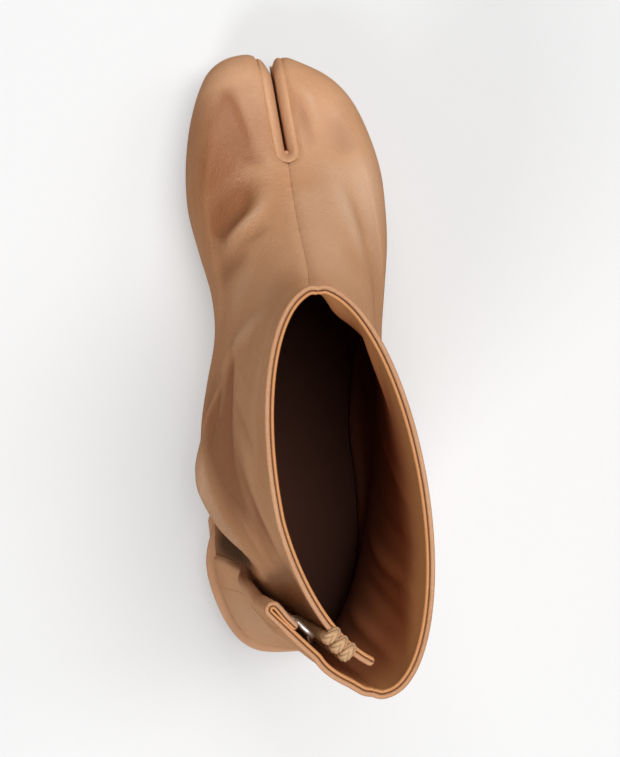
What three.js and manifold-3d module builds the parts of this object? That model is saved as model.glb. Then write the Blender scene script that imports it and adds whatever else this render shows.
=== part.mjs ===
// A split-toe ankle boot (jika tabi) for the right foot, standing empty on its sole.
// Millimetres, +X to the toes, +Y to the big toe's side, +Z up.
import * as THREE from 'three';
import { mergeVertices } from 'three/addons/utils/BufferGeometryUtils.js';
import Module from 'manifold-3d';

const wasm = await Module();
wasm.setup();

// Driving sizes of the last and the shaft
const bootLength = 257.5;     // back of the heel rim to the tips of the toes
const ballWidth = 86.6;       // widest place across the toes' joints
const toeHeight = 40.8;       // top of the toe box above the floor
const collarHeight = 188;     // collar above the floor
const collarWidth = 54;       // across the open collar
const collarLean = 22;        // how far the back of the collar leans to the outer side
const seamOffset = 7.3;       // how far the front seam wanders to the outer side
const wall = 2;               // leather with its lining

// Sole and heel
const soleThickness = 4;
const heelHeight = 26;        // floor to the underside of the heel seat
const topPieceThickness = 5;  // wearing piece at the foot of the heel
const topPieceInset = 0.8;
const heelBreast = 60;        // length of the heel from its back to its front face
const heelTaper = 4.5;        // how much narrower the heel is at its foot, on each side
const heelRim = 3.8;          // how far the heel seat stands out under the upper
const heelCornerTuck = 6;     // the heel narrows towards its front face by this on each side
const shankStart = 56;        // where the sole leaves the heel seat
const ballStart = 150;        // where the sole reaches the floor
const springStart = 212;      // where it rises again towards the toes
const toeSpring = 7;
const soleEdgeTuck = 3.4;     // the sole's edge lies this far inside the widest outline
const insoleThickness = 2;

// The split between the toes
const slotTip = new THREE.Vector2(258, 0.6);
const slotEnd = new THREE.Vector2(213, -4.8);
const slotGap = 2;            // open width between the two toes
const gussetWall = 1.8;
const gussetRoll = 4;         // rolled edge of the gusset, seen from above on each side
const gussetRollDepth = 2.4;
const dentDepth = 6;          // the toes round off into the split by this much at their tips
const dentReach = 10;         // and the rounding starts this far from it
const topDentDepth = 2.2;     // the same over the top of the toes

// The fastening at the back of the inner side
const flapStandOff = 12.5;    // the flap's edge stands off the shaft at the collar
const lapClearance = 4.6;     // and this much where it lies over the cords lower down
const underlapTuck = 10.4;    // the underlap's end is pressed into the shaft
const cordCount = 3;
const cordDiameter = 3.8;
const loopCount = 5;
const loopLift = 0.5;         // a cord rises this far between the places where it is sewn down
const hookCount = 5;
const hookLength = 8.2;
const hookWidth = 9;
const hookThickness = 1;
const hookLift = 0.6;          // between the plate and the flap's inner face
const hookSpan = 0.12;         // the share of the flap that a hook plate lies along
const hookStandOff = 0.9;     // between the hem's raw end and the plate that comes out of it
const clearance = 0.3;

const seatHeight = heelHeight + soleThickness;

// Outline from above at its widest level. along is a share of the boot's length from the heel,
// medial and lateral are half widths and the arch columns what the waist loses low down,
// all as shares of the ball's width.
const outline = [
  { along: 0.00, medial: 0.460, lateral: 0.460, archMedial: 0.000, archLateral: 0.000 },
  { along: 0.16, medial: 0.462, lateral: 0.460, archMedial: 0.000, archLateral: 0.000 },
  { along: 0.27, medial: 0.478, lateral: 0.464, archMedial: 0.110, archLateral: 0.040 },
  { along: 0.36, medial: 0.468, lateral: 0.472, archMedial: 0.185, archLateral: 0.080 },
  { along: 0.45, medial: 0.410, lateral: 0.484, archMedial: 0.135, archLateral: 0.068 },
  { along: 0.53, medial: 0.355, lateral: 0.500, archMedial: 0.050, archLateral: 0.030 },
  { along: 0.60, medial: 0.350, lateral: 0.532, archMedial: 0.012, archLateral: 0.008 },
  { along: 0.67, medial: 0.402, lateral: 0.565, archMedial: 0.000, archLateral: 0.000 },
  { along: 0.74, medial: 0.464, lateral: 0.585, archMedial: 0.000, archLateral: 0.000 },
  { along: 0.80, medial: 0.492, lateral: 0.594, archMedial: 0.000, archLateral: 0.000 },
  { along: 0.87, medial: 0.508, lateral: 0.574, archMedial: 0.000, archLateral: 0.000 },
  { along: 0.92, medial: 0.514, lateral: 0.540, archMedial: 0.000, archLateral: 0.000 },
  { along: 0.95, medial: 0.520, lateral: 0.482, archMedial: 0.000, archLateral: 0.000 },
  { along: 0.97, medial: 0.530, lateral: 0.390, archMedial: 0.000, archLateral: 0.000 },
  { along: 1.00, medial: 0.530, lateral: 0.140, archMedial: 0.000, archLateral: 0.000 },
];

// Levels of the upper, from its edge on the sole to the collar. back and front are shares of
// the length, rise of the way from seat to collar, toe of the toe height and climb of the way
// from there to the collar. follow says how far a level follows the sole, tuck (at the toes)
// and draw (behind them), shares of the ball's width, how far it is drawn in, waist how much
// of the arch it takes and shaft how far it has become the collar's oval. The round columns
// shape its two ends. leanBack and leanFront are shares of the collar's lean and the seam's
// offset. lap shares the flap's stand-off, press the underlap's tuck and reach is where the
// flap's edge runs, a share of its place at the collar.
const levels = [
  {
    back: 0.0250, front: 0.981, rise: 0.002, toe: 0.277, climb: 0.000, follow: 1.00,
    tuck: 0.048, draw: 0.048, waist: 1.00, shaft: 0.00, roundBack: 0.50, roundFront: 0.50,
    leanBack: 0.02, leanFront: 0.00, lap: 0.00, press: 0.00, reach: 0.79,
  },
  {
    back: 0.0180, front: 0.995, rise: 0.028, toe: 0.400, climb: 0.000, follow: 0.95,
    tuck: 0.015, draw: 0.015, waist: 0.85, shaft: 0.00, roundBack: 0.50, roundFront: 0.50,
    leanBack: 0.02, leanFront: 0.00, lap: 0.00, press: 0.00, reach: 0.79,
  },
  {
    back: 0.0148, front: 1.000, rise: 0.070, toe: 0.560, climb: 0.000, follow: 0.80,
    tuck: 0.000, draw: 0.000, waist: 0.60, shaft: 0.00, roundBack: 0.50, roundFront: 0.50,
    leanBack: 0.02, leanFront: 0.00, lap: 0.00, press: 0.50, reach: 0.79,
  },
  {
    back: 0.0148, front: 0.992, rise: 0.117, toe: 0.735, climb: 0.000, follow: 0.60,
    tuck: 0.009, draw: 0.006, waist: 0.30, shaft: 0.00, roundBack: 0.60, roundFront: 0.50,
    leanBack: 0.05, leanFront: 0.04, lap: 0.00, press: 0.50, reach: 0.79,
  },
  {
    back: 0.0170, front: 0.971, rise: 0.165, toe: 0.870, climb: 0.000, follow: 0.40,
    tuck: 0.038, draw: 0.014, waist: 0.10, shaft: 0.00, roundBack: 0.75, roundFront: 0.50,
    leanBack: 0.08, leanFront: 0.11, lap: 0.00, press: 0.50, reach: 0.79,
  },
  {
    back: 0.0200, front: 0.932, rise: 0.215, toe: 0.956, climb: 0.000, follow: 0.22,
    tuck: 0.072, draw: 0.023, waist: 0.00, shaft: 0.00, roundBack: 0.92, roundFront: 0.50,
    leanBack: 0.12, leanFront: 0.22, lap: 0.00, press: 0.50, reach: 0.79,
  },
  {
    back: 0.0240, front: 0.876, rise: 0.266, toe: 1.000, climb: 0.000, follow: 0.10,
    tuck: 0.080, draw: 0.030, waist: 0.00, shaft: 0.03, roundBack: 1.10, roundFront: 0.50,
    leanBack: 0.18, leanFront: 0.44, lap: 0.00, press: 0.50, reach: 0.79,
  },
  {
    back: 0.0272, front: 0.812, rise: 0.320, toe: 1.000, climb: 0.034, follow: 0.03,
    tuck: 0.069, draw: 0.034, waist: 0.00, shaft: 0.08, roundBack: 1.20, roundFront: 0.50,
    leanBack: 0.25, leanFront: 0.69, lap: 0.26, press: 0.55, reach: 0.78,
  },
  {
    back: 0.0295, front: 0.753, rise: 0.380, toe: 1.000, climb: 0.117, follow: 0.00,
    tuck: 0.052, draw: 0.034, waist: 0.00, shaft: 0.20, roundBack: 1.28, roundFront: 0.55,
    leanBack: 0.32, leanFront: 0.77, lap: 0.32, press: 0.60, reach: 0.75,
  },
  {
    back: 0.0303, front: 0.699, rise: 0.443, toe: 1.000, climb: 0.232, follow: 0.00,
    tuck: 0.040, draw: 0.030, waist: 0.00, shaft: 0.36, roundBack: 1.30, roundFront: 0.65,
    leanBack: 0.41, leanFront: 0.86, lap: 0.38, press: 0.72, reach: 0.73,
  },
  {
    back: 0.0291, front: 0.654, rise: 0.519, toe: 1.000, climb: 0.358, follow: 0.00,
    tuck: 0.029, draw: 0.024, waist: 0.00, shaft: 0.53, roundBack: 1.28, roundFront: 0.76,
    leanBack: 0.50, leanFront: 0.96, lap: 0.46, press: 0.85, reach: 0.76,
  },
  {
    back: 0.0264, front: 0.621, rise: 0.614, toe: 1.000, climb: 0.497, follow: 0.00,
    tuck: 0.017, draw: 0.017, waist: 0.00, shaft: 0.69, roundBack: 1.20, roundFront: 0.87,
    leanBack: 0.61, leanFront: 0.96, lap: 0.54, press: 0.92, reach: 0.84,
  },
  {
    back: 0.0225, front: 0.599, rise: 0.734, toe: 1.000, climb: 0.660, follow: 0.00,
    tuck: 0.009, draw: 0.009, waist: 0.00, shaft: 0.83, roundBack: 1.10, roundFront: 0.95,
    leanBack: 0.75, leanFront: 0.77, lap: 0.66, press: 0.97, reach: 0.90,
  },
  {
    back: 0.0186, front: 0.586, rise: 0.867, toe: 1.000, climb: 0.830, follow: 0.00,
    tuck: 0.003, draw: 0.003, waist: 0.00, shaft: 0.93, roundBack: 1.03, roundFront: 1.00,
    leanBack: 0.89, leanFront: 0.63, lap: 0.82, press: 1.00, reach: 0.96,
  },
  {
    back: 0.0155, front: 0.579, rise: 1.000, toe: 1.000, climb: 1.000, follow: 0.00,
    tuck: 0.000, draw: 0.000, waist: 0.00, shaft: 1.00, roundBack: 1.00, roundFront: 1.00,
    leanBack: 1.00, leanFront: 0.80, lap: 1.00, press: 1.00, reach: 1.00,
  },
].map((row, index) => ({ level: index, ...row }));
const topLevel = levels.length - 1;

// Where the fastening lies, in levels and in the angle round the shaft from its back
const lapBottom = 1;
const slitBottom = 7.4;
const flapRoot = -0.2;
const flapEdge = 1.0;
const flapSetBack = 0.2;       // the flap stands off mostly inwards and by this share backwards
const cordsUnder = { from: 0.35, to: 0.7 };
const slitFrom = 0.09;
const slitTo = 0.36;
const pressEnd = 1.45;
const pressPeak = 0.3;
const pressHeading = new THREE.Vector2(0.69, -0.72);
const cordAnglesTop = { first: 0.585, step: 0.079 };
const cordAnglesLow = { first: 0.42, step: 0.078 };
const cordBottomLevel = 9.9;
const hookLevels = { top: 13.65, low: 10.45 };
const hemBottomLevel = 2;
const hemShare = 0.16;

const smooth = (from, to, value) => THREE.MathUtils.smoothstep(value, from, to);
const mix = THREE.MathUtils.lerp;

// A value from a table's column, on a smooth curve through its rows
function fromTable(table, key, column, at) {
  const last = table.length - 1;
  let row = 0;
  while (row < last - 1 && at > table[row + 1][key]) row += 1;
  const slope = (index) => {
    const before = table[Math.max(index - 1, 0)];
    const after = table[Math.min(index + 1, last)];
    return (after[column] - before[column]) / (after[key] - before[key]);
  };
  const start = table[row];
  const end = table[row + 1];
  const span = end[key] - start[key];
  const t = THREE.MathUtils.clamp((at - start[key]) / span, 0, 1);
  const easeOut = t * t * (3 - 2 * t);
  return start[column] * (1 - easeOut) + end[column] * easeOut
    + span * slope(row) * t * (1 - t) ** 2 - span * slope(row + 1) * t * t * (1 - t);
}

const outlineAt = (column, x) => ballWidth * fromTable(outline, 'along', column, x / bootLength);

// Top face of the sole: heel seat, waist, flat forefoot and toe spring
function soleTop(x) {
  const waist = 1 - smooth(shankStart, ballStart, x);
  const spring = Math.max(x - springStart, 0) / (bootLength - springStart);
  return soleThickness + heelHeight * waist + toeSpring * spring ** 2;
}

function levelAt(level) {
  const take = (column) => fromTable(levels, 'level', column, level);
  return {
    backX: take('back') * bootLength,
    frontX: take('front') * bootLength,
    backZ: mix(seatHeight, collarHeight, take('rise')),
    frontZ: toeHeight * take('toe') + (collarHeight - toeHeight) * take('climb'),
    follow: take('follow'),
    tuck: take('tuck') * ballWidth,
    draw: take('draw') * ballWidth,
    waist: take('waist'),
    shaft: take('shaft'),
    roundBack: take('roundBack'),
    roundFront: take('roundFront'),
    backY: -collarLean * take('leanBack'),
    frontY: -seamOffset * take('leanFront'),
    lap: flapStandOff * take('lap'),
    press: underlapTuck * Math.max(take('press'), 0),
    reach: flapEdge * take('reach'),
  };
}

// A point of the last, at a level and an angle round it: 0 is the back, a half turn the front,
// and the big toe's side comes first.
function lastPoint(ring, angle) {
  const s = (1 - Math.cos(angle)) / 2;
  const x = mix(ring.backX, ring.frontX, s);
  const centre = mix(ring.backY, ring.frontY, s);
  const medial = Math.sin(angle) >= 0;
  const side = medial ? 1 : -1;
  const foot = outlineAt(medial ? 'medial' : 'lateral', x) - side * centre
    - mix(ring.draw, ring.tuck, smooth(0.55, 0.85, x / bootLength))
    - ring.waist * outlineAt(medial ? 'archMedial' : 'archLateral', x);
  const half = mix(foot, collarWidth / 2, ring.shaft);
  const round = s < 0.5 ? ring.roundBack : ring.roundFront;
  const y = centre + side * half * Math.abs(Math.sin(angle)) ** round;
  const straight = mix(ring.backZ, ring.frontZ, s);
  const sole = soleTop(x) - mix(soleTop(ring.backX), soleTop(ring.frontX), s);
  return new THREE.Vector3(x, y, straight + ring.follow * sole);
}

// The underlap is pressed into the shaft behind the flap
function shaftPoint(ring, angle) {
  const point = lastPoint(ring, angle);
  if (angle > slitFrom && angle < pressEnd) {
    const rising = smooth(slitFrom, pressPeak, angle);
    const falling = (pressEnd - Math.max(angle, pressPeak)) / (pressEnd - pressPeak);
    const push = ring.press * rising * falling ** 1.25;
    point.x += pressHeading.x * push;
    point.y += pressHeading.y * push;
  }
  return point;
}

// Grids are lists of rows of points. The bend of a row round a piece may be closed.
function makeGrid(rows, columns, pointAt) {
  return Array.from({ length: rows }, (_, row) => (
    Array.from({ length: columns }, (__, column) => pointAt(row, column))));
}

// The same grid moved along its own normals, outwards for a positive distance. The distance
// is a number or a function of the point.
function offsetGrid(grid, distance, closed) {
  const distanceAt = typeof distance === 'number' ? () => distance : distance;
  const columns = grid[0].length;
  const clampRow = (row) => Math.min(Math.max(row, 0), grid.length - 1);
  const pick = (column) => (closed
    ? (column + columns) % columns : Math.min(Math.max(column, 0), columns - 1));
  return grid.map((line, row) => line.map((point, column) => {
    const along = line[pick(column + 1)].clone().sub(line[pick(column - 1)]);
    const up = grid[clampRow(row + 1)][column].clone().sub(grid[clampRow(row - 1)][column]);
    const normal = up.cross(along).normalize();
    return point.clone().addScaledVector(normal, distanceAt(point));
  }));
}

function toSolid(points, faces) {
  const vertProperties = new Float32Array(points.flatMap((p) => [p.x, p.y, p.z]));
  const triVerts = new Uint32Array(faces);
  let volume = 0;
  for (let i = 0; i < faces.length; i += 3) {
    const [a, b, c] = [points[faces[i]], points[faces[i + 1]], points[faces[i + 2]]];
    volume += a.dot(b.clone().cross(c));
  }
  if (volume < 0) {
    for (let i = 0; i < triVerts.length; i += 3) {
      [triVerts[i], triVerts[i + 1]] = [triVerts[i + 1], triVerts[i]];
    }
  }
  return new wasm.Manifold(new wasm.Mesh({ numProp: 3, vertProperties, triVerts }));
}

// A wall between an outer and an inner grid
function wallSolid(outer, inner, closed) {
  const rows = outer.length;
  const columns = outer[0].length;
  const points = [...outer.flat(), ...inner.flat()];
  const faces = [];
  const at = (layer, row, column) => layer * rows * columns + row * columns + (column % columns);
  const quad = (a, b, c, d) => faces.push(a, b, c, a, c, d);
  const spans = closed ? columns : columns - 1;
  for (let column = 0; column < spans; column += 1) {
    for (let row = 0; row < rows - 1; row += 1) {
      const [next, above] = [column + 1, row + 1];
      quad(at(0, row, column), at(0, row, next), at(0, above, next), at(0, above, column));
      quad(at(1, row, column), at(1, above, column), at(1, above, next), at(1, row, next));
    }
    const [next, top] = [column + 1, rows - 1];
    quad(at(0, 0, column), at(1, 0, column), at(1, 0, next), at(0, 0, next));
    quad(at(0, top, column), at(0, top, next), at(1, top, next), at(1, top, column));
  }
  if (!closed) {
    const end = columns - 1;
    for (let row = 0; row < rows - 1; row += 1) {
      quad(at(0, row, 0), at(0, row + 1, 0), at(1, row + 1, 0), at(1, row, 0));
      quad(at(0, row, end), at(1, row, end), at(1, row + 1, end), at(0, row + 1, end));
    }
  }
  return toSolid(points, faces);
}

// A filled body through closed rings that are alike on their two sides, capped straight across
function filledSolid(grid) {
  const columns = grid[0].length;
  const points = grid.flat();
  const faces = [];
  const quad = (a, b, c, d) => faces.push(a, b, c, a, c, d);
  for (let row = 0; row < grid.length - 1; row += 1) {
    for (let column = 0; column < columns; column += 1) {
      const next = (column + 1) % columns;
      const [base, above] = [row * columns, (row + 1) * columns];
      quad(base + column, base + next, above + next, above + column);
    }
  }
  const half = columns / 2;
  const cap = (base, flip) => {
    const face = (a, b, c) => {
      const [second, third] = flip ? [c, b] : [b, c];
      faces.push(base + a, base + second, base + third);
    };
    face(0, columns - 1, 1);
    for (let column = 1; column < half - 1; column += 1) {
      face(column, columns - column, columns - column - 1);
      face(column, columns - column - 1, column + 1);
    }
    face(half - 1, half + 1, half);
  };
  cap(0, false);
  cap((grid.length - 1) * columns, true);
  return toSolid(points, faces);
}

// A solid made from a three.js geometry
function fromGeometry(geometry) {
  geometry.deleteAttribute('normal');
  geometry.deleteAttribute('uv');
  const merged = mergeVertices(geometry, 1e-4);
  return new wasm.Manifold(new wasm.Mesh({
    numProp: 3,
    vertProperties: new Float32Array(merged.attributes.position.array),
    triVerts: new Uint32Array(merged.index.array),
  }));
}

function toMesh(name, solid, material) {
  const mesh = solid.getMesh();
  const geometry = new THREE.BufferGeometry();
  const positions = new Float32Array(mesh.vertProperties);
  geometry.setAttribute('position', new THREE.BufferAttribute(positions, 3));
  geometry.setIndex(new THREE.BufferAttribute(new Uint32Array(mesh.triVerts), 1));
  geometry.computeVertexNormals();
  const object = new THREE.Mesh(geometry, material);
  object.name = name;
  return object;
}

// Angles round the last, closer together at its two ends and the same on both sides
const ringSteps = 60;
function ringAngle(column) {
  const around = column / ringSteps;
  const half = around <= 0.5 ? 2 * around : 2 - 2 * around;
  const angle = mix(half * Math.PI, (1 - Math.cos(half * Math.PI)) * Math.PI / 2, 0.6);
  return around <= 0.5 ? angle : 2 * Math.PI - angle;
}
const ringLevels = [];
for (let level = 0; level <= topLevel; level += level < 9 ? 0.5 : 1) ringLevels.push(level);

// An upright cutter around the line between the toes, open past their tips
function splitPrism(halfWidth) {
  const away = slotTip.clone().sub(slotEnd).normalize();
  const across = new THREE.Vector2(-away.y, away.x);
  const beyond = slotTip.clone().addScaledVector(away, ballWidth / 4);
  const shape = new THREE.Shape();
  const corner = (base, side) => base.clone().addScaledVector(across, side * halfWidth);
  const start = corner(beyond, 1);
  shape.moveTo(start.x, start.y);
  const arcSteps = 10;
  for (let step = 0; step <= arcSteps; step += 1) {
    const turn = (step / arcSteps) * Math.PI;
    const point = slotEnd.clone()
      .addScaledVector(across, halfWidth * Math.cos(turn))
      .addScaledVector(away, -halfWidth * Math.sin(turn));
    shape.lineTo(point.x, point.y);
  }
  const end = corner(beyond, -1);
  shape.lineTo(end.x, end.y);
  const geometry = new THREE.ExtrudeGeometry(shape, { depth: 3 * toeHeight, bevelEnabled: false });
  geometry.translate(0, 0, -toeHeight);
  return fromGeometry(geometry);
}

// The toes round off into the split, most at their tips
function splitDent(point) {
  const away = slotTip.clone().sub(slotEnd);
  const length = away.length();
  away.normalize();
  const from = new THREE.Vector2(point.x, point.y).sub(slotEnd);
  const along = from.dot(away);
  const beside = Math.hypot(from.dot(new THREE.Vector2(-away.y, away.x)), Math.min(along, 0));
  const nearness = Math.max(1 - beside / dentReach, 0) ** 2;
  const depth = mix(topDentDepth, dentDepth, smooth(0.75, 0.97, along / length));
  return point.z < 1.5 * toeHeight ? -depth * nearness : 0;
}

function ringsOf(pointOf) {
  const plain = makeGrid(ringLevels.length, ringSteps, (row, column) => (
    pointOf(levelAt(ringLevels[row]), ringAngle(column))));
  return offsetGrid(plain, splitDent, true);
}

const lastGrid = ringsOf(lastPoint);
const shaftGrid = ringsOf(shaftPoint);

// The flap goes on round the back from the outer side and ends in a free edge
const flapSteps = 12;
const flapRows = 15;
const flapLevel = (row) => mix(lapBottom, topLevel, row / (flapRows - 1));

function flapPoint(ring, share) {
  const angle = mix(flapRoot, ring.reach, share);
  const point = lastPoint(ring, angle);
  const overCords = Math.min(ring.lap, lapClearance) * smooth(cordsUnder.from, cordsUnder.to, share);
  const lift = Math.max(ring.lap * share ** 3, overCords);
  point.x -= flapSetBack * lift;
  point.y += lift;
  return point;
}

function makeFlap() {
  const skin = makeGrid(flapRows, flapSteps, (row, column) => (
    flapPoint(levelAt(flapLevel(row)), column / (flapSteps - 1))));
  return wallSolid(offsetGrid(skin, -0.1 * wall), offsetGrid(skin, -wall), false);
}

// The flap's edge is turned in, so it is twice as thick there
function makeHem() {
  const rows = 13;
  const columns = 3;
  const skin = makeGrid(rows, columns, (row, column) => {
    const level = mix(hemBottomLevel, topLevel, row / (rows - 1));
    return flapPoint(levelAt(level), 1 - hemShare * (1 - column / (columns - 1)));
  });
  return wallSolid(offsetGrid(skin, -0.8 * wall), offsetGrid(skin, -2 * wall), false);
}

// What is cut away between the back seam and the end of the underlap
function makeSlit() {
  const rows = 12;
  const columns = 5;
  const skin = makeGrid(rows, columns, (row, column) => {
    const share = row / (rows - 1);
    const angle = mix(slitFrom, slitTo, column / (columns - 1));
    const point = shaftPoint(levelAt(mix(slitBottom, topLevel, share)), angle);
    point.z += share === 1 ? 2 * wall : 0;
    return point;
  });
  return wallSolid(offsetGrid(skin, wall), offsetGrid(skin, -2 * wall), false);
}

function makeUpper() {
  const shell = wallSolid(shaftGrid, offsetGrid(shaftGrid, -wall, true), true);
  const closure = makeFlap().add(makeHem());
  return shell.subtract(makeSlit()).add(closure)
    .subtract(splitPrism(slotGap / 2 + gussetRoll + clearance));
}

function makeGusset() {
  const filled = filledSolid(lastGrid);
  const coreGrid = offsetGrid(lastGrid, -gussetRollDepth, true);
  const below = coreGrid[0].map((point) => point.clone().setZ(point.z - toeHeight));
  const core = filledSolid([below, ...coreGrid]);
  const roll = filled.subtract(core).intersect(splitPrism(slotGap / 2 + gussetRoll));
  const sides = filled.intersect(splitPrism(slotGap / 2 + gussetWall));
  return roll.add(sides).subtract(splitPrism(slotGap / 2));
}

// The edge of the sole, drawn in by tuck; at the heel it stands out as a rim
function solePoint(angle, tuck, lift) {
  const s = (1 - Math.cos(angle)) / 2;
  const x = mix(0, bootLength - soleEdgeTuck, s);
  const medial = Math.sin(angle) >= 0;
  const side = medial ? 1 : -1;
  const rim = 1 - smooth(0.55 * heelBreast, 1.25 * heelBreast, x);
  const half = outlineAt(medial ? 'medial' : 'lateral', x) - mix(soleEdgeTuck, -heelRim, rim)
    - outlineAt(medial ? 'archMedial' : 'archLateral', x);
  const round = Math.sqrt(Math.abs(Math.sin(angle)));
  const point = new THREE.Vector3(x, side * half * round, soleTop(x) + lift);
  point.x -= tuck * -Math.cos(angle);
  point.y -= tuck * side * Math.min(1, 2 * round) * Math.abs(Math.sin(angle)) ** 0.3;
  return point;
}

function makeOutsole() {
  const bevel = 0.8;
  const layers = [
    { tuck: bevel, lift: -soleThickness },
    { tuck: 0, lift: bevel - soleThickness },
    { tuck: 0, lift: 0 },
  ];
  const grid = makeGrid(layers.length, ringSteps, (row, column) => (
    solePoint(ringAngle(column), layers[row].tuck, layers[row].lift)));
  return filledSolid(grid).subtract(splitPrism(slotGap / 2));
}

function makeInsole() {
  const ring = levelAt(0);
  const inset = wall + 2 * clearance;
  const edge = Array.from({ length: ringSteps }, (_, column) => {
    const before = lastPoint(ring, ringAngle(column) - 0.02);
    const after = lastPoint(ring, ringAngle(column) + 0.02);
    const point = lastPoint(ring, ringAngle(column));
    const outwards = new THREE.Vector3(before.y - after.y, after.x - before.x, 0).normalize();
    const dent = splitDent(point);
    point.addScaledVector(outwards, -inset);
    point.x += dent;
    return point;
  });
  const layers = [clearance, clearance + insoleThickness];
  const grid = layers.map((lift) => edge.map((point) => point.clone().setZ(soleTop(point.x) + lift)));
  return filledSolid(grid).subtract(splitPrism(slotGap / 2 + gussetRoll + clearance));
}

// A layer of the heel: round at the back, straight across its front face
function heelRing(inset, z) {
  const steps = 15;
  const back = inset;
  const half = (x, column) => {
    const s = THREE.MathUtils.clamp((x - back) / (bootLength - soleEdgeTuck), 0, 1);
    const round = (2 * Math.sqrt(s * (1 - s))) ** 0.5;
    const corner = heelCornerTuck * smooth(0.35 * heelBreast, heelBreast, x);
    return (outlineAt(column, x) + heelRim - inset - corner) * round;
  };
  const points = [];
  const place = (step) => back + (heelBreast - back) * (step / steps) ** 2;
  for (let step = 0; step < steps; step += 1) {
    points.push([place(step), half(place(step), 'medial')]);
  }
  const corner = 0.97;
  const bow = 0.5;
  points.push([heelBreast, corner * half(heelBreast, 'medial')]);
  points.push([heelBreast + bow, 0]);
  points.push([heelBreast, -corner * half(heelBreast, 'lateral')]);
  for (let step = steps - 1; step > 0; step -= 1) {
    points.push([place(step), -half(place(step), 'lateral')]);
  }
  return points.map(([x, y]) => new THREE.Vector3(x, y, z(x)));
}

function makeHeel() {
  const seat = (x) => soleTop(x) - soleThickness - clearance;
  const foot = topPieceThickness + clearance;
  const layers = 5;
  const grid = Array.from({ length: layers }, (_, layer) => {
    const share = layer / (layers - 1);
    const inset = heelTaper * (1 - share) ** 1.4;
    return heelRing(inset, (x) => mix(foot, seat(x), share));
  });
  return filledSolid(grid);
}

function makeTopPiece() {
  const inset = heelTaper + topPieceInset;
  return filledSolid([heelRing(inset, () => 0), heelRing(inset, () => topPieceThickness)]);
}

// A cord runs down the underlap, sewn down between its loops
function makeCord(index) {
  const steps = 4 * loopCount;
  const path = [];
  for (let step = 0; step <= steps; step += 1) {
    const share = step / steps;
    const level = mix(topLevel, cordBottomLevel, share);
    const ring = levelAt(level);
    const [top, low] = [cordAnglesTop, cordAnglesLow].map((place) => place.first + index * place.step);
    const angle = mix(top, low, share);
    const point = shaftPoint(ring, angle);
    const beside = shaftPoint(ring, angle + 0.05).sub(shaftPoint(ring, angle - 0.05));
    const outwards = new THREE.Vector3(-beside.y, beside.x, 0).normalize();
    const loop = loopLift * (1 - Math.cos(2 * Math.PI * loopCount * share)) / 2;
    path.push(point.addScaledVector(outwards, cordDiameter / 2 + clearance + loop));
  }
  const curve = new THREE.CatmullRomCurve3(path);
  const section = new THREE.Shape();
  const sides = 8;
  for (let side = 0; side < sides; side += 1) {
    const turn = (side / sides) * 2 * Math.PI;
    const [u, v] = [cordDiameter / 2 * Math.cos(turn), cordDiameter / 2 * Math.sin(turn)];
    if (side === 0) section.moveTo(u, v);
    else section.lineTo(u, v);
  }
  const sweep = { steps, extrudePath: curve, bevelEnabled: false };
  return fromGeometry(new THREE.ExtrudeGeometry(section, sweep));
}

// A hook plate comes out of the turned hem, with its round tip towards the cords
function makeHook(index) {
  const ring = levelAt(mix(hookLevels.top, hookLevels.low, index / (hookCount - 1)));
  const seam = flapPoint(ring, 1 - hemShare);
  const heading = flapPoint(ring, 1 - hemShare - hookSpan).sub(seam).setZ(0).normalize();
  const face = new THREE.Vector3(-heading.y, heading.x, 0);
  const half = hookWidth / 2;
  const plate = new THREE.Shape();
  plate.moveTo(0, -0.8 * half);
  plate.lineTo(hookLength - half, -half);
  plate.absarc(hookLength - half, 0, half, -Math.PI / 2, Math.PI / 2, false);
  plate.lineTo(0, 0.8 * half);
  const sheet = { depth: hookThickness, curveSegments: 10, bevelEnabled: false };
  const geometry = new THREE.ExtrudeGeometry(plate, sheet);
  const seat = seam
    .addScaledVector(heading, hookStandOff)
    .addScaledVector(face, wall + hookLift);
  const down = new THREE.Vector3(0, 0, -1);
  geometry.applyMatrix4(new THREE.Matrix4().makeBasis(heading, down, face).setPosition(seat));
  return fromGeometry(geometry);
}

const leather = () => new THREE.MeshStandardMaterial({ color: '#bd9068', roughness: 0.5 });
const soleLeather = new THREE.MeshStandardMaterial({ color: '#a87c55', roughness: 0.6 });
const innerLeather = new THREE.MeshStandardMaterial({ color: '#5b3a26', roughness: 0.6 });
const topPieceRubber = new THREE.MeshStandardMaterial({ color: '#3a2c22', roughness: 0.8 });
const cordCotton = new THREE.MeshStandardMaterial({ color: '#cda573', roughness: 0.9 });
const hookSteel = new THREE.MeshStandardMaterial({ color: '#9b9a96', roughness: 0.3, metalness: 0.9 });

const boot = new THREE.Group();
boot.add(toMesh('upper', makeUpper(), leather()));
boot.add(toMesh('toe_gusset', makeGusset(), leather()));
boot.add(toMesh('outsole', makeOutsole(), soleLeather));
boot.add(toMesh('insole', makeInsole(), innerLeather));
boot.add(toMesh('heel', makeHeel(), leather()));
boot.add(toMesh('heel_top_piece', makeTopPiece(), topPieceRubber));
for (let index = 0; index < cordCount; index += 1) {
  boot.add(toMesh(`loop_cord_${index + 1}`, makeCord(index), cordCotton));
}

for (let index = 0; index < hookCount; index += 1) {
  boot.add(toMesh(`hook_${index + 1}`, makeHook(index), hookSteel));
}

// The origin is in the middle of the boot's box, on the floor
const box = new THREE.Box3().setFromObject(boot);
boot.position.set(-(box.min.x + box.max.x) / 2, -(box.min.y + box.max.y) / 2, -box.min.z);

export default boot;
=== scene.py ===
import bmesh
import bpy
import numpy as np
from mathutils import Matrix, Vector


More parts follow.
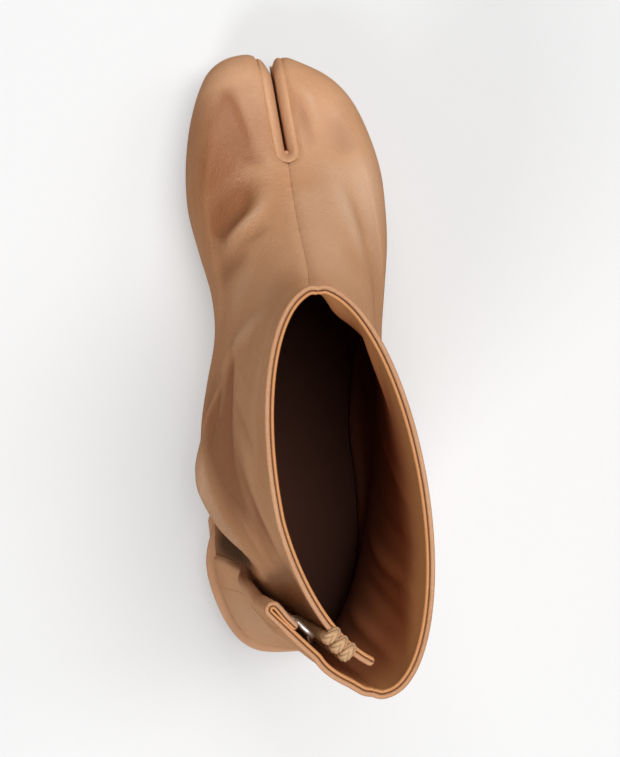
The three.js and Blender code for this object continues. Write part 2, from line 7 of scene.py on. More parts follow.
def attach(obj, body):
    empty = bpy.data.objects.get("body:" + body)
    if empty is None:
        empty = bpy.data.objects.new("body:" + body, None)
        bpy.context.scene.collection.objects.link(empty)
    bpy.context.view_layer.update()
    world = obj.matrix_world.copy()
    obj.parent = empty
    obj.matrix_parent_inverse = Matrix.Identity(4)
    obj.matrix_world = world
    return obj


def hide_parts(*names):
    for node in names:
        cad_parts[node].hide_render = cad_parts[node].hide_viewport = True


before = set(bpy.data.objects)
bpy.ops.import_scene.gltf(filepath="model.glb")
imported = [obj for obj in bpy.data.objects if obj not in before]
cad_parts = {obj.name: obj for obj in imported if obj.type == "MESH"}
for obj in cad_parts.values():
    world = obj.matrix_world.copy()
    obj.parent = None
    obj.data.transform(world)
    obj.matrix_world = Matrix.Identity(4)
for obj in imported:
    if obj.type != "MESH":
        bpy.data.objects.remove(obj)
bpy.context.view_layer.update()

# Camera: straight down from 0.9 m over a point beside the boot's inner side, toes up in the
# picture, and turned towards the boot without any shift.
camera_place = Vector((-0.00965, 0.04594, 0.900))
camera_target = Vector((-0.0120, -0.0044, 0.060))
picture_up = Vector((0.9989, -0.0461, 0.0))
sensor_width = 36
lens_length = 96.7
nearest_seen = 0.01
camera = bpy.data.objects.new("camera", bpy.data.cameras.new("camera"))
bpy.context.collection.objects.link(camera)
bpy.context.scene.camera = camera
camera.data.sensor_width = sensor_width
camera.data.lens = lens_length
camera.data.clip_start = nearest_seen
backwards = (camera_place - camera_target).normalized()
sideways = picture_up.cross(backwards).normalized()
upwards = backwards.cross(sideways)
camera.matrix_world = (Matrix.Translation(camera_place)
                       @ Matrix((sideways, upwards, backwards)).transposed().to_4x4())

# Studio: a plain pale floor, an even pale surround, a wide soft light high on the boot's outer
# side, and three soft lamps: beside the outer side, past the toes and past the heel. The floor
# glows a little for the camera, and sends less and warmer light back to the boot, whose sides
# are dark in the photo.
bpy.context.scene.view_settings.view_transform = "Standard"
floor_size = 12.0
floor_colour = (0.52, 0.52, 0.52, 1)
floor_glow = 0.27
floor_bounce = (0.40, 0.27, 0.17, 1)
floor_roughness = 0.9
surround_colour = (1.0, 1.0, 1.0, 1)
surround_strength = 0.14
soft_lights = [
    # name, place, target, width, watts
    ("outer_light", (0.40, -1.45, 1.30), (0.0, 0.0, 0.08), 0.9, 7.0),
    ("toe_light", (1.40, 0.15, 1.20), (0.0, 0.0, 0.10), 0.7, 7.0),
    ("heel_light", (-1.30, 0.70, 1.30), (-0.05, 0.0, 0.10), 0.7, 16.0),
]
sky_place = Vector((0.25, -0.60, 2.40))
sky_strength = 2.05
sky_softness = 0.6

floor_mesh = bpy.data.meshes.new("floor")
half_floor = floor_size / 2
floor_mesh.from_pydata([(-half_floor, -half_floor, 0), (half_floor, -half_floor, 0),
                        (half_floor, half_floor, 0), (-half_floor, half_floor, 0)], [], [(0, 1, 2, 3)])
floor = bpy.data.objects.new("floor", floor_mesh)
bpy.context.collection.objects.link(floor)
floor_paint = bpy.data.materials.new("floor_paint")
floor_paint.use_nodes = True
floor_tree = floor_paint.node_tree
floor_shader = floor_tree.nodes["Principled BSDF"]
seen = floor_tree.nodes.new("ShaderNodeLightPath").outputs["Is Camera Ray"]
floor_tone = floor_tree.nodes.new("ShaderNodeMix")
floor_tone.data_type = "RGBA"
floor_tone.inputs["A"].default_value = floor_bounce
floor_tone.inputs["B"].default_value = floor_colour
floor_tree.links.new(seen, floor_tone.inputs["Factor"])
floor_tree.links.new(floor_tone.outputs["Result"], floor_shader.inputs["Base Color"])
glow = floor_tree.nodes.new("ShaderNodeMath")
glow.operation = "MULTIPLY"
glow.inputs[1].default_value = floor_glow
floor_tree.links.new(seen, glow.inputs[0])
floor_tree.links.new(glow.outputs[0], floor_shader.inputs["Emission Strength"])
floor_shader.inputs["Emission Color"].default_value = surround_colour
floor_shader.inputs["Roughness"].default_value = floor_roughness
floor_mesh.materials.append(floor_paint)

surround = bpy.data.worlds.new("surround")
surround.use_nodes = True
surround.node_tree.nodes["Background"].inputs["Color"].default_value = surround_colour
surround.node_tree.nodes["Background"].inputs["Strength"].default_value = surround_strength
bpy.context.scene.world = surround

sky_lamp = bpy.data.lights.new("sky_light", "SUN")
sky_lamp.energy = sky_strength
sky_lamp.angle = sky_softness
sky = bpy.data.objects.new("sky_light", sky_lamp)
sky.location = sky_place
sky.rotation_euler = sky_place.to_track_quat("Z", "Y").to_euler()
bpy.context.collection.objects.link(sky)

for light_name, place, target, width, watts in soft_lights:
    lamp = bpy.data.lights.new(light_name, "AREA")
    lamp.shape = "DISK"
    lamp.size = width
    lamp.energy = watts
    stand = bpy.data.objects.new(light_name, lamp)
    stand.location = place
    stand.rotation_euler = (Vector(place) - Vector(target)).to_track_quat("Z", "Y").to_euler()
    bpy.context.collection.objects.link(stand)


# The last: the boot is built round one shape, so its sizes come before the pieces. They are in
# millimetres from the back of the heel, +X to the toes, +Y to the inner side. A level runs from
# the edge on the sole (0) to the collar (14), an angle in radians from the back over the inner
# side (half a turn is the front).
last_origin = np.array([-128.668, 4.779, 0.0])
boot_length = 257.5
ball_width = 86.6
toe_height = 40.8
collar_height = 188.0
collar_width = 54.0
collar_lean = 22.0
seam_offset = 7.3
wall = 2.0
sole_thickness = 4.0
heel_height = 26.0
shank_start = 56.0
ball_start = 150.0
spring_start = 212.0
toe_spring = 7.0
seat_height = heel_height + sole_thickness
clearance = 0.3
tuck_from, tuck_full = 0.55, 0.85

# Half widths of the foot's outline: along, inner, outer, and what the arch takes off each
outline = np.array([
    (0.00, 0.460, 0.460, 0.000, 0.000),
    (0.16, 0.462, 0.460, 0.000, 0.000),
    (0.27, 0.478, 0.464, 0.110, 0.040),
    (0.36, 0.468, 0.472, 0.185, 0.080),
    (0.45, 0.410, 0.484, 0.135, 0.068),
    (0.53, 0.355, 0.500, 0.050, 0.030),
    (0.60, 0.350, 0.532, 0.012, 0.008),
    (0.67, 0.402, 0.565, 0.000, 0.000),
    (0.74, 0.464, 0.585, 0.000, 0.000),
    (0.80, 0.492, 0.594, 0.000, 0.000),
    (0.87, 0.508, 0.574, 0.000, 0.000),
    (0.92, 0.514, 0.540, 0.000, 0.000),
    (0.95, 0.520, 0.482, 0.000, 0.000),
    (0.97, 0.530, 0.390, 0.000, 0.000),
    (1.00, 0.530, 0.140, 0.000, 0.000),
])

# Each level: where its back and front lie along the boot, its height at the back (rise) and at
# the front (toe, climb), how far it follows the sole, what is drawn in at the toes (tuck) and
# elsewhere (draw), the arch (waist), how far it has the shaft's width, the roundness and the
# sideways lean of its back and front, and the flap: how far it stands off (lap), the underlap
# is pressed in (press) and the flap reaches round (reach)
level_columns = ["level", "back", "front", "rise", "toe", "climb", "follow", "tuck", "draw", "waist",
                 "shaft", "round_back", "round_front", "lean_back", "lean_front", "lap", "press", "reach"]
levels = np.array([
    (0, 0.0250, 0.981, 0.002, 0.277, 0.000, 1.00, 0.048, 0.048, 1.00,
     0.00, 0.50, 0.50, 0.02, 0.00, 0.00, 0.00, 0.79),
    (1, 0.0180, 0.995, 0.028, 0.400, 0.000, 0.95, 0.015, 0.015, 0.85,
     0.00, 0.50, 0.50, 0.02, 0.00, 0.00, 0.00, 0.79),
    (2, 0.0148, 1.000, 0.070, 0.560, 0.000, 0.80, 0.000, 0.000, 0.60,
     0.00, 0.50, 0.50, 0.02, 0.00, 0.00, 0.50, 0.79),
    (3, 0.0148, 0.992, 0.117, 0.735, 0.000, 0.60, 0.009, 0.006, 0.30,
     0.00, 0.60, 0.50, 0.05, 0.04, 0.00, 0.50, 0.79),
    (4, 0.0170, 0.971, 0.165, 0.870, 0.000, 0.40, 0.038, 0.014, 0.10,
     0.00, 0.75, 0.50, 0.08, 0.11, 0.00, 0.50, 0.79),
    (5, 0.0200, 0.932, 0.215, 0.956, 0.000, 0.22, 0.072, 0.023, 0.00,
     0.00, 0.92, 0.50, 0.12, 0.22, 0.00, 0.50, 0.79),
    (6, 0.0240, 0.876, 0.266, 1.000, 0.000, 0.10, 0.080, 0.030, 0.00,
     0.03, 1.10, 0.50, 0.18, 0.44, 0.00, 0.50, 0.79),
    (7, 0.0272, 0.812, 0.320, 1.000, 0.034, 0.03, 0.069, 0.034, 0.00,
     0.08, 1.20, 0.50, 0.25, 0.69, 0.26, 0.55, 0.78),
    (8, 0.0295, 0.753, 0.380, 1.000, 0.117, 0.00, 0.052, 0.034, 0.00,
     0.20, 1.28, 0.55, 0.32, 0.77, 0.32, 0.60, 0.75),
    (9, 0.0303, 0.699, 0.443, 1.000, 0.232, 0.00, 0.040, 0.030, 0.00,
     0.36, 1.30, 0.65, 0.41, 0.86, 0.38, 0.72, 0.73),
    (10, 0.0291, 0.654, 0.519, 1.000, 0.358, 0.00, 0.029, 0.024, 0.00,
     0.53, 1.28, 0.76, 0.50, 0.96, 0.46, 0.85, 0.76),
    (11, 0.0264, 0.621, 0.614, 1.000, 0.497, 0.00, 0.017, 0.017, 0.00,
     0.69, 1.20, 0.87, 0.61, 0.96, 0.54, 0.92, 0.84),
    (12, 0.0225, 0.599, 0.734, 1.000, 0.660, 0.00, 0.009, 0.009, 0.00,
     0.83, 1.10, 0.95, 0.75, 0.77, 0.66, 0.97, 0.90),
    (13, 0.0186, 0.586, 0.867, 1.000, 0.830, 0.00, 0.003, 0.003, 0.00,
     0.93, 1.03, 1.00, 0.89, 0.63, 0.82, 1.00, 0.96),
    (14, 0.0155, 0.579, 1.000, 1.000, 1.000, 0.00, 0.000, 0.000, 0.00,
     1.00, 1.00, 1.00, 1.00, 0.80, 1.00, 1.00, 1.00),
])
top_level = 14.0


def smooth(start, end, value):
    """0 before start, 1 after end and an even S between them."""
    share = np.clip((value - start) / (end - start), 0, 1)
    return share * share * (3 - 2 * share)


def mix(low, high, share):
    """The value that lies that share of the way from low to high."""
    return low + (high - low) * share


def through_rows(table, at):
    """All columns of a table at a value of its first column, on a smooth curve through its rows:
    each row's slope is that between its neighbours, and a cubic joins two rows."""
    keys = table[:, 0]
    below = np.maximum(np.arange(len(keys)) - 1, 0)
    above = np.minimum(np.arange(len(keys)) + 1, len(keys) - 1)
    slopes = (table[above] - table[below]) / (keys[above] - keys[below])[:, None]
    at = np.asarray(at, float)
    row = np.clip(np.searchsorted(keys, at, side="right") - 1, 0, len(keys) - 2)
    span = (keys[row + 1] - keys[row])[..., None]
    t = np.clip((at - keys[row])[..., None] / span, 0, 1)
    ease = t * t * (3 - 2 * t)
    return (table[row] * (1 - ease) + table[row + 1] * ease
            + span * slopes[row] * t * (1 - t) ** 2 - span * slopes[row + 1] * t * t * (1 - t))


def level_value(name, level):
    """One named column of the level table."""
    column = level_columns.index(name)
    return through_rows(levels[:, [0, column]], level)[..., 1]


def half_widths(x):
    """Inner and outer half width, and what the arch takes off them, in millimetres at x."""
    return through_rows(outline, x / boot_length)[..., 1:] * ball_width


def sole_top(x):
    """Height of the sole's top face: an S from the heel seat down to the flat forefoot, and a
    rise with the square of the distance in the toe spring."""
    waist = 1 - smooth(shank_start, ball_start, x)
    spring = np.maximum(x - spring_start, 0) / (boot_length - spring_start)
    return sole_thickness + heel_height * waist + toe_spring * spring ** 2


def last(level, angle):
    """A point of the last. Along, it goes from the level's back to its front with the cosine of
    the angle; across, it stands off the middle by the half width there, times a power of the
    sine; the half width changes from the foot's outline to the collar's oval as levels rise."""
    level, angle = np.broadcast_arrays(np.asarray(level, float), np.asarray(angle, float))
    take = {name: level_value(name, level) for name in level_columns[1:15]}
    s = (1 - np.cos(angle)) / 2
    back_x, front_x = take["back"] * boot_length, take["front"] * boot_length
    x = mix(back_x, front_x, s)
    middle = mix(-collar_lean * take["lean_back"], -seam_offset * take["lean_front"], s)
    inner = np.sin(angle) >= 0
    side = np.where(inner, 1, -1)
    widths = half_widths(x)
    foot = np.where(inner, widths[..., 0], widths[..., 1]) - side * middle
    foot -= ball_width * mix(take["draw"], take["tuck"], smooth(tuck_from, tuck_full, x / boot_length))
    foot -= take["waist"] * np.where(inner, widths[..., 2], widths[..., 3])
    half = mix(foot, collar_width / 2, take["shaft"])
    roundness = np.where(s < 0.5, take["round_back"], take["round_front"])
    y = middle + side * half * np.abs(np.sin(angle)) ** roundness
    back_z = mix(seat_height, collar_height, take["rise"])
    front_z = toe_height * take["toe"] + (collar_height - toe_height) * take["climb"]
    follow = take["follow"] * (sole_top(x) - mix(sole_top(back_x), sole_top(front_x), s))
    return np.stack([x, y, mix(back_z, front_z, s) + follow], axis=-1)


slot_tip = np.array([258.0, 0.6])
slot_end = np.array([213.0, -4.8])
slot_along = (slot_tip - slot_end) / np.linalg.norm(slot_tip - slot_end)
slot_across = np.array([-slot_along[1], slot_along[0]])
slot_gap = 2.0
dent_reach = 10.0
dent_depth = 6.0
top_dent_depth = 2.2
dent_from, dent_full = 0.75, 0.97
slot_ceiling = 1.5 * toe_height


def by_the_slot(points):
    """Along and across the line between the toes, and the distance from that line."""
    offset = points[..., :2] - slot_end
    along, across = offset @ slot_along, offset @ slot_across
    return along, across, np.hypot(across, np.minimum(along, 0))


def vamp(level, angle):
    """The last, rounded off into the split: near the line between the toes it moves against its
    own normal, most at their tips. Also gives the normal."""
    point = last(level, angle)
    small_level, small_turn = 0.01, 0.004
    up = last(level + small_level, angle) - last(level - small_level, angle)
    along = last(level, angle + small_turn) - last(level, angle - small_turn)
    normal = np.cross(up, along)
    normal /= np.linalg.norm(normal, axis=-1, keepdims=True) + 1e-12
    reach, _, beside = by_the_slot(point)
    slot_length = np.linalg.norm(slot_tip - slot_end)
    depth = mix(top_dent_depth, dent_depth, smooth(dent_from, dent_full, reach / slot_length))
    depth = depth * np.maximum(1 - beside / dent_reach, 0) ** 2 * (point[..., 2] < slot_ceiling)
    return point - normal * depth[..., None], normal


# The upper: three panels of tan leather over a thinner tan lining, sewn together down the
# front and at the back of the heel. The inner panel runs on as an underlap, the back one as
# the flap over it, and the collar's rim is turned in on both faces, with a groove between.
underlap_end = 0.36
underlap_low_end = -0.28
underlap_rise = 0.7
back_seam = 0.12
flap_root = -0.2
lap_clearance = 4.6
flap_stand_off = 12.5
lap_direction = np.array([-0.2, 1.0, 0.0])
underlap_tuck = 10.4
underlap_direction = np.array([0.69, -0.72, 0.0])
press_start, press_peak, press_end = 0.09, 0.3, 1.45
slit_bottom = 7.4
leather_colour = (0.510, 0.258, 0.130, 1)
leather_light = (0.610, 0.345, 0.195, 1)
# Painted shade in troughs and on shaded sides, painted shadow deeper in, painted highlight on ridges
leather_painted_shade = (0.215, 0.064, 0.019, 1)
leather_painted_shadow = (0.035, 0.013, 0.006, 1)
leather_painted_highlight = (0.680, 0.500, 0.370, 1)
sole_joint_drop = 0.9
# Painted shade in the rim's groove
groove_painted_shade = (0.190, 0.080, 0.036, 1)
lining_colour = (0.600, 0.282, 0.112, 1)
# The lining's painted shade and painted shadow, darker downwards into the boot
lining_shade = (0.420, 0.150, 0.060, 1)
lining_painted_shadow = (0.180, 0.062, 0.032, 1)
seam_lap = 0.22
pucker_pitch = 7.5


def inner_side(level, angle):
    """The inner panel: the vamp, pressed inwards where it runs under the flap."""
    point, _ = vamp(level, angle)
    rising = smooth(press_start, press_peak, angle)
    falling = (press_end - np.clip(angle, press_peak, press_end)) / (press_end - press_peak)
    push = underlap_tuck * np.maximum(level_value("press", level), 0) * rising * falling ** 1.25
    return point + push[..., None] * underlap_direction


def outer_side(level, angle):
    """The outer panel and the flap: the vamp, standing off it where it laps over the underlap.
    Angles run on past a whole turn."""
    point, _ = vamp(level, angle)
    lap = flap_stand_off * level_value("lap", level)
    share = (angle - 2 * np.pi - flap_root) / (level_value("reach", level) - flap_root)
    share = np.clip(share, 0, 1)
    lift = np.maximum(lap * share ** 3, np.minimum(lap, lap_clearance) * smooth(0.35, 0.7, share))
    return point + lift[..., None] * lap_direction


# Levels of a panel's rows, closest together at the collar
panel_levels = np.concatenate([np.linspace(0, 7, 44, endpoint=False),
                               np.linspace(7, 13.5, 82, endpoint=False),
                               np.linspace(13.5, 13.93, 14), [14.0]])

# Steps along which a panel's width is measured, and places of the columns close to an edge
path_steps = 500
close = np.array([0, 0.06, 0.22, 0.5, 1.0])


def lay(surface, start, end, rounding, columns):
    """A panel's points, with columns evenly spaced along the surface from start to end at each
    level and a few close to both edges, at shares of the edge's rounding. Also gives how much
    of the wall's thickness each column has: a quarter round at the edges."""
    level = panel_levels[:, None]
    ease = (1 - np.cos(np.linspace(0, np.pi, path_steps))) / 2
    angle = mix(np.broadcast_to(start, len(panel_levels))[:, None],
                np.broadcast_to(end, len(panel_levels))[:, None], ease)
    path = surface(level, angle)
    steps = np.linalg.norm(np.diff(path, axis=1), axis=-1)
    length = np.concatenate([np.zeros((len(steps), 1)), np.cumsum(steps, axis=1)], axis=1)
    first, final = rounding
    places = [np.concatenate([close * first, np.linspace(first, whole - final, columns)[1:-1],
                              whole - close[::-1] * final]) for whole in length[:, -1]]
    angle = np.stack([np.interp(place, run, turn) for place, run, turn in zip(places, length, angle)])
    round_off = np.sqrt(1 - (1 - close) ** 2)
    edge = np.concatenate([round_off, np.ones(columns - 2), round_off[::-1]])
    return surface(level, angle), edge


def grid_normals(points):
    """Unit normals of a grid whose rows go up and whose columns run round the boot: the cross
    product of its steps up and round."""
    normal = np.cross(np.gradient(points, axis=0), np.gradient(points, axis=1))
    return normal / (np.linalg.norm(normal, axis=-1, keepdims=True) + 1e-12)


# Soft troughs and ridges, placed one by one: level and share of a turn at the start, middle and
# end, then half width and height in millimetres (troughs are below zero)
folds = [
    # along the big toe, and from there to the end of the split
    ((4.3, 0.456), (5.6, 0.461), (6.7, 0.480), 4.5, -1.3),
    ((4.6, 0.472), (5.8, 0.478), (6.7, 0.487), 3.0, 0.5),
    ((6.6, 0.465), (6.9, 0.481), (7.0, 0.494), 2.6, -0.5),
    # along the small toes
    ((4.7, 0.506), (5.4, 0.519), (6.4, 0.522), 2.8, 0.8),
    ((5.0, 0.503), (5.8, 0.509), (6.7, 0.513), 3.2, -0.8),
    ((5.2, 0.560), (6.0, 0.570), (6.9, 0.572), 6.0, -0.7),
    # across the instep's inner side, beside its ridge
    ((7.2, 0.468), (7.8, 0.425), (6.2, 0.345), 6.5, -2.2),
    ((7.6, 0.490), (8.4, 0.452), (7.7, 0.378), 4.0, 1.3),
    ((9.0, 0.425), (8.0, 0.368), (5.4, 0.300), 5.5, -1.0),
    ((8.6, 0.460), (8.9, 0.445), (8.3, 0.400), 3.0, -0.5),
    # across the instep's outer side
    ((7.3, 0.540), (8.2, 0.565), (9.0, 0.610), 5.0, 0.8),
    ((7.0, 0.560), (7.6, 0.590), (8.2, 0.640), 5.0, -0.9),
    # down the shaft's inner side
    ((11.9, 0.420), (9.9, 0.345), (8.3, 0.290), 5.0, 1.2),
    ((8.9, 0.330), (9.8, 0.290), (10.6, 0.235), 5.5, -1.8),
    ((9.0, 0.298), (7.8, 0.258), (5.9, 0.217), 2.6, 0.9),
    ((8.6, 0.292), (8.6, 0.262), (7.8, 0.225), 2.8, -0.9),
    ((10.0, 0.328), (11.3, 0.322), (12.6, 0.318), 2.4, 0.5),
    ((10.2, 0.300), (11.6, 0.290), (12.7, 0.278), 2.6, -0.6),
    ((11.0, 0.262), (12.2, 0.224), (13.1, 0.185), 3.0, -1.0),
    ((11.6, 0.272), (12.6, 0.240), (13.3, 0.205), 2.2, 0.7),
    ((10.4, 0.215), (11.4, 0.185), (12.4, 0.160), 3.0, 0.9),
    # the bulge of the inner side over the gap in front of the flap
    ((2.6, 0.210), (5.4, 0.180), (9.6, 0.168), 5.5, 4.6),
    ((2.2, 0.160), (5.2, 0.144), (8.8, 0.146), 5.0, -6.0),
    # soft ones in the shaft's outer side
    ((7.6, 0.640), (8.8, 0.680), (9.8, 0.740), 5.0, -0.7),
    ((8.2, 0.745), (10.8, 0.755), (12.8, 0.765), 7.0, 0.5),
    ((8.0, 0.860), (10.2, 0.850), (12.4, 0.845), 6.0, -0.5),
]

# Painted shade and painted highlight on the hide, placed in the same way: darker where the sides
# and the instep lie in shade, paler where the outer side and the flap catch the light. The last
# column is their tone
painted_shades = [
    ((4.0, 0.450), (5.8, 0.443), (7.2, 0.455), 21.0, -1.45),
    ((5.0, 0.405), (6.7, 0.398), (7.9, 0.385), 13.0, -1.2),
    ((9.4, 0.430), (9.0, 0.370), (8.4, 0.330), 10.0, 0.8),
    ((6.5, 0.270), (9.4, 0.245), (11.6, 0.215), 18.0, -2.0),
    ((10.0, 0.240), (11.8, 0.215), (12.8, 0.190), 8.0, -0.8),
    ((2.0, 0.168), (4.6, 0.150), (8.6, 0.143), 6.5, -2.2),
    ((5.8, 0.585), (6.9, 0.600), (8.4, 0.640), 17.0, 1.5),
    ((7.6, 0.505), (9.4, 0.520), (11.8, 0.550), 12.0, 0.9),
    ((13.2, 0.430), (12.9, 0.340), (13.0, 0.240), 5.0, 0.8),
    ((1.0, 0.080), (4.5, 0.075), (8.0, 0.060), 15.0, 1.0),
]
# Painted shadow in the gap in front of the flap, on the inner panel only
painted_gap_shadow = [
    ((0.6, 0.137), (4.0, 0.135), (8.6, 0.130), 8.0, -7.0),
]
# Where the lining swells away from the leather, into the boot, or lies closer to it; where it lies closer it
# gets painted shade
lining_swell = [
    ((13.8, 0.540), (12.8, 0.575), (11.4, 0.630), 6.5, 3.6),
    ((13.4, 0.610), (12.8, 0.650), (12.0, 0.700), 5.0, 1.6),
    ((8.0, 0.800), (10.6, 0.805), (13.2, 0.800), 3.4, -0.9),
    ((7.6, 0.830), (10.4, 0.838), (13.3, 0.838), 3.2, 1.9),
    ((8.0, 0.866), (10.6, 0.870), (13.2, 0.880), 3.4, -0.9),
    ((8.0, 0.905), (10.6, 0.912), (13.2, 0.925), 3.4, 1.9),
    ((8.0, 0.740), (10.6, 0.750), (13.0, 0.765), 4.0, 1.5),
]


fold_points = 36
fold_fade = 0.8


def fold_lift(points, table):
    """How far the folds of a table raise each point: a bell across every fold's curve, fading
    out to its two ends."""
    lift = np.zeros(points.shape[:-1])
    t = np.linspace(0, 1, fold_points)
    weights = np.stack([(1 - t) * (1 - 2 * t), 4 * t * (1 - t), t * (2 * t - 1)], axis=1)
    for start, middle, end, half_width, height in table:
        route = weights @ np.array([start, middle, end])
        line, _ = vamp(route[:, 0], route[:, 1] * 2 * np.pi)
        gap = np.linalg.norm(points[..., None, :] - line, axis=-1)
        nearest = gap.argmin(axis=-1)
        fade = np.sin(np.pi * np.clip(t, 0.02, 0.98)) ** fold_fade
        lift += height * fade[nearest] * np.exp(-(gap.min(axis=-1) / half_width) ** 2)
    return lift


# The rim across the collar: outwards of the outer face, and above its edge
rim = np.array([(0.80, -0.90), (0.70, -0.42), (0.36, -0.10), (-0.12, 0.0), (-0.60, -0.10), (-0.90, -0.45),
                (-1.00, -1.00), (-1.28, -1.00), (-1.40, -0.48), (-1.64, -0.16), (-1.94, -0.06),
                (-2.26, -0.22), (-2.50, -0.60), (-2.56, -1.15)])
rim_groove = 7
rim_swell, rim_swell_inside = 0.80, 0.56
rim_swell_below, rim_swell_width = 0.9, 1.3
rim_crease, rim_crease_below, rim_crease_width = 0.38, 3.2, 0.5
rim_tone = -0.35
highest_ridge_highlight = 1.2
lining_from, lining_full = 1.5, 4.0
thin_columns = 8
thin_rim = 0.82

# Where the panels meet the strip in the split, and where the lining meets the insole
strip_dip_from, strip_dip_to, strip_dip = 6.1, 5.0, 0.9
cut_beside_slot = 4.3
foot_fill, foot_fill_height, foot_fill_width = 0.7, 2.4, 2.2

# A sewn seam: how far it draws the skin in and how wide, its puckers, and the soft bank beside it
seam_draw, seam_width = 0.42, 1.9
pucker_share, pucker_drift, pucker_drift_pitch = 0.35, 1.3, 11.0
seam_bank, seam_bank_away, seam_bank_width = 0.16, 3.6, 2.0


def to_frame(points):
    """Millimetres on the last to metres in the frame."""
    return (points.reshape(-1, 3) + last_origin) / 1000


def piece(name, points, faces, materials, slots=None, fold=None):
    """A closed mesh from points on the last and four-cornered faces: points that coincide are
    joined, faces turned outwards and shaded smoothly. It rides on the boot's body."""
    used, place = np.unique(faces, return_inverse=True)
    mesh = bpy.data.meshes.new(name)
    mesh.from_pydata(to_frame(points)[used].tolist(), [], place.reshape(faces.shape).tolist())
    if fold is not None:
        mesh.attributes.new("fold", "FLOAT", "POINT").data.foreach_set("value", fold.ravel()[used])
    if slots is not None:
        mesh.polygons.foreach_set("material_index", slots)
    shape = bmesh.new()
    shape.from_mesh(mesh)
    bmesh.ops.remove_doubles(shape, verts=shape.verts, dist=2e-6)
    bmesh.ops.recalc_face_normals(shape, faces=shape.faces)
    shape.to_mesh(mesh)
    shape.free()
    mesh.polygons.foreach_set("use_smooth", np.ones(len(mesh.polygons), bool))
    for material in materials:
        mesh.materials.append(material)
    made = bpy.data.objects.new(name, mesh)
    bpy.context.collection.objects.link(made)
    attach(made, "root")
    return made


def sew_on(skin, column, inner_column):
    """Moves a panel's edge, from one of its columns on, by a lap over the seam, so that the next
    panel meets it in a shallow crease."""
    span = slice(column, None) if column < 0 else slice(None, column + 1)
    ahead = skin[:, column] - skin[:, inner_column]
    ahead /= np.linalg.norm(ahead, axis=-1, keepdims=True)
    sewn = skin.copy()
    sewn[:, span] += ahead[:, None] * seam_lap
    return sewn


def seam_dip_at(skin, column):
    """How far a sewn edge moves the skin: down in a bell along the seam, with a sine of puckers
    that drift a little, and up in a low bank beside it."""
    away = np.linalg.norm(skin - skin[:, [column]], axis=-1)
    run = np.concatenate([[0], np.linalg.norm(np.diff(skin[:, column], axis=0), axis=-1).cumsum()])
    drift = pucker_drift * np.sin(run / pucker_drift_pitch)
    pucker = 1 + pucker_share * np.sin(2 * np.pi * run / pucker_pitch + drift)[:, None]
    bank = np.exp(-((away - seam_bank_away) / seam_bank_width) ** 2)
    return -seam_draw * pucker * np.exp(-(away / seam_width) ** 2) + seam_bank * bank


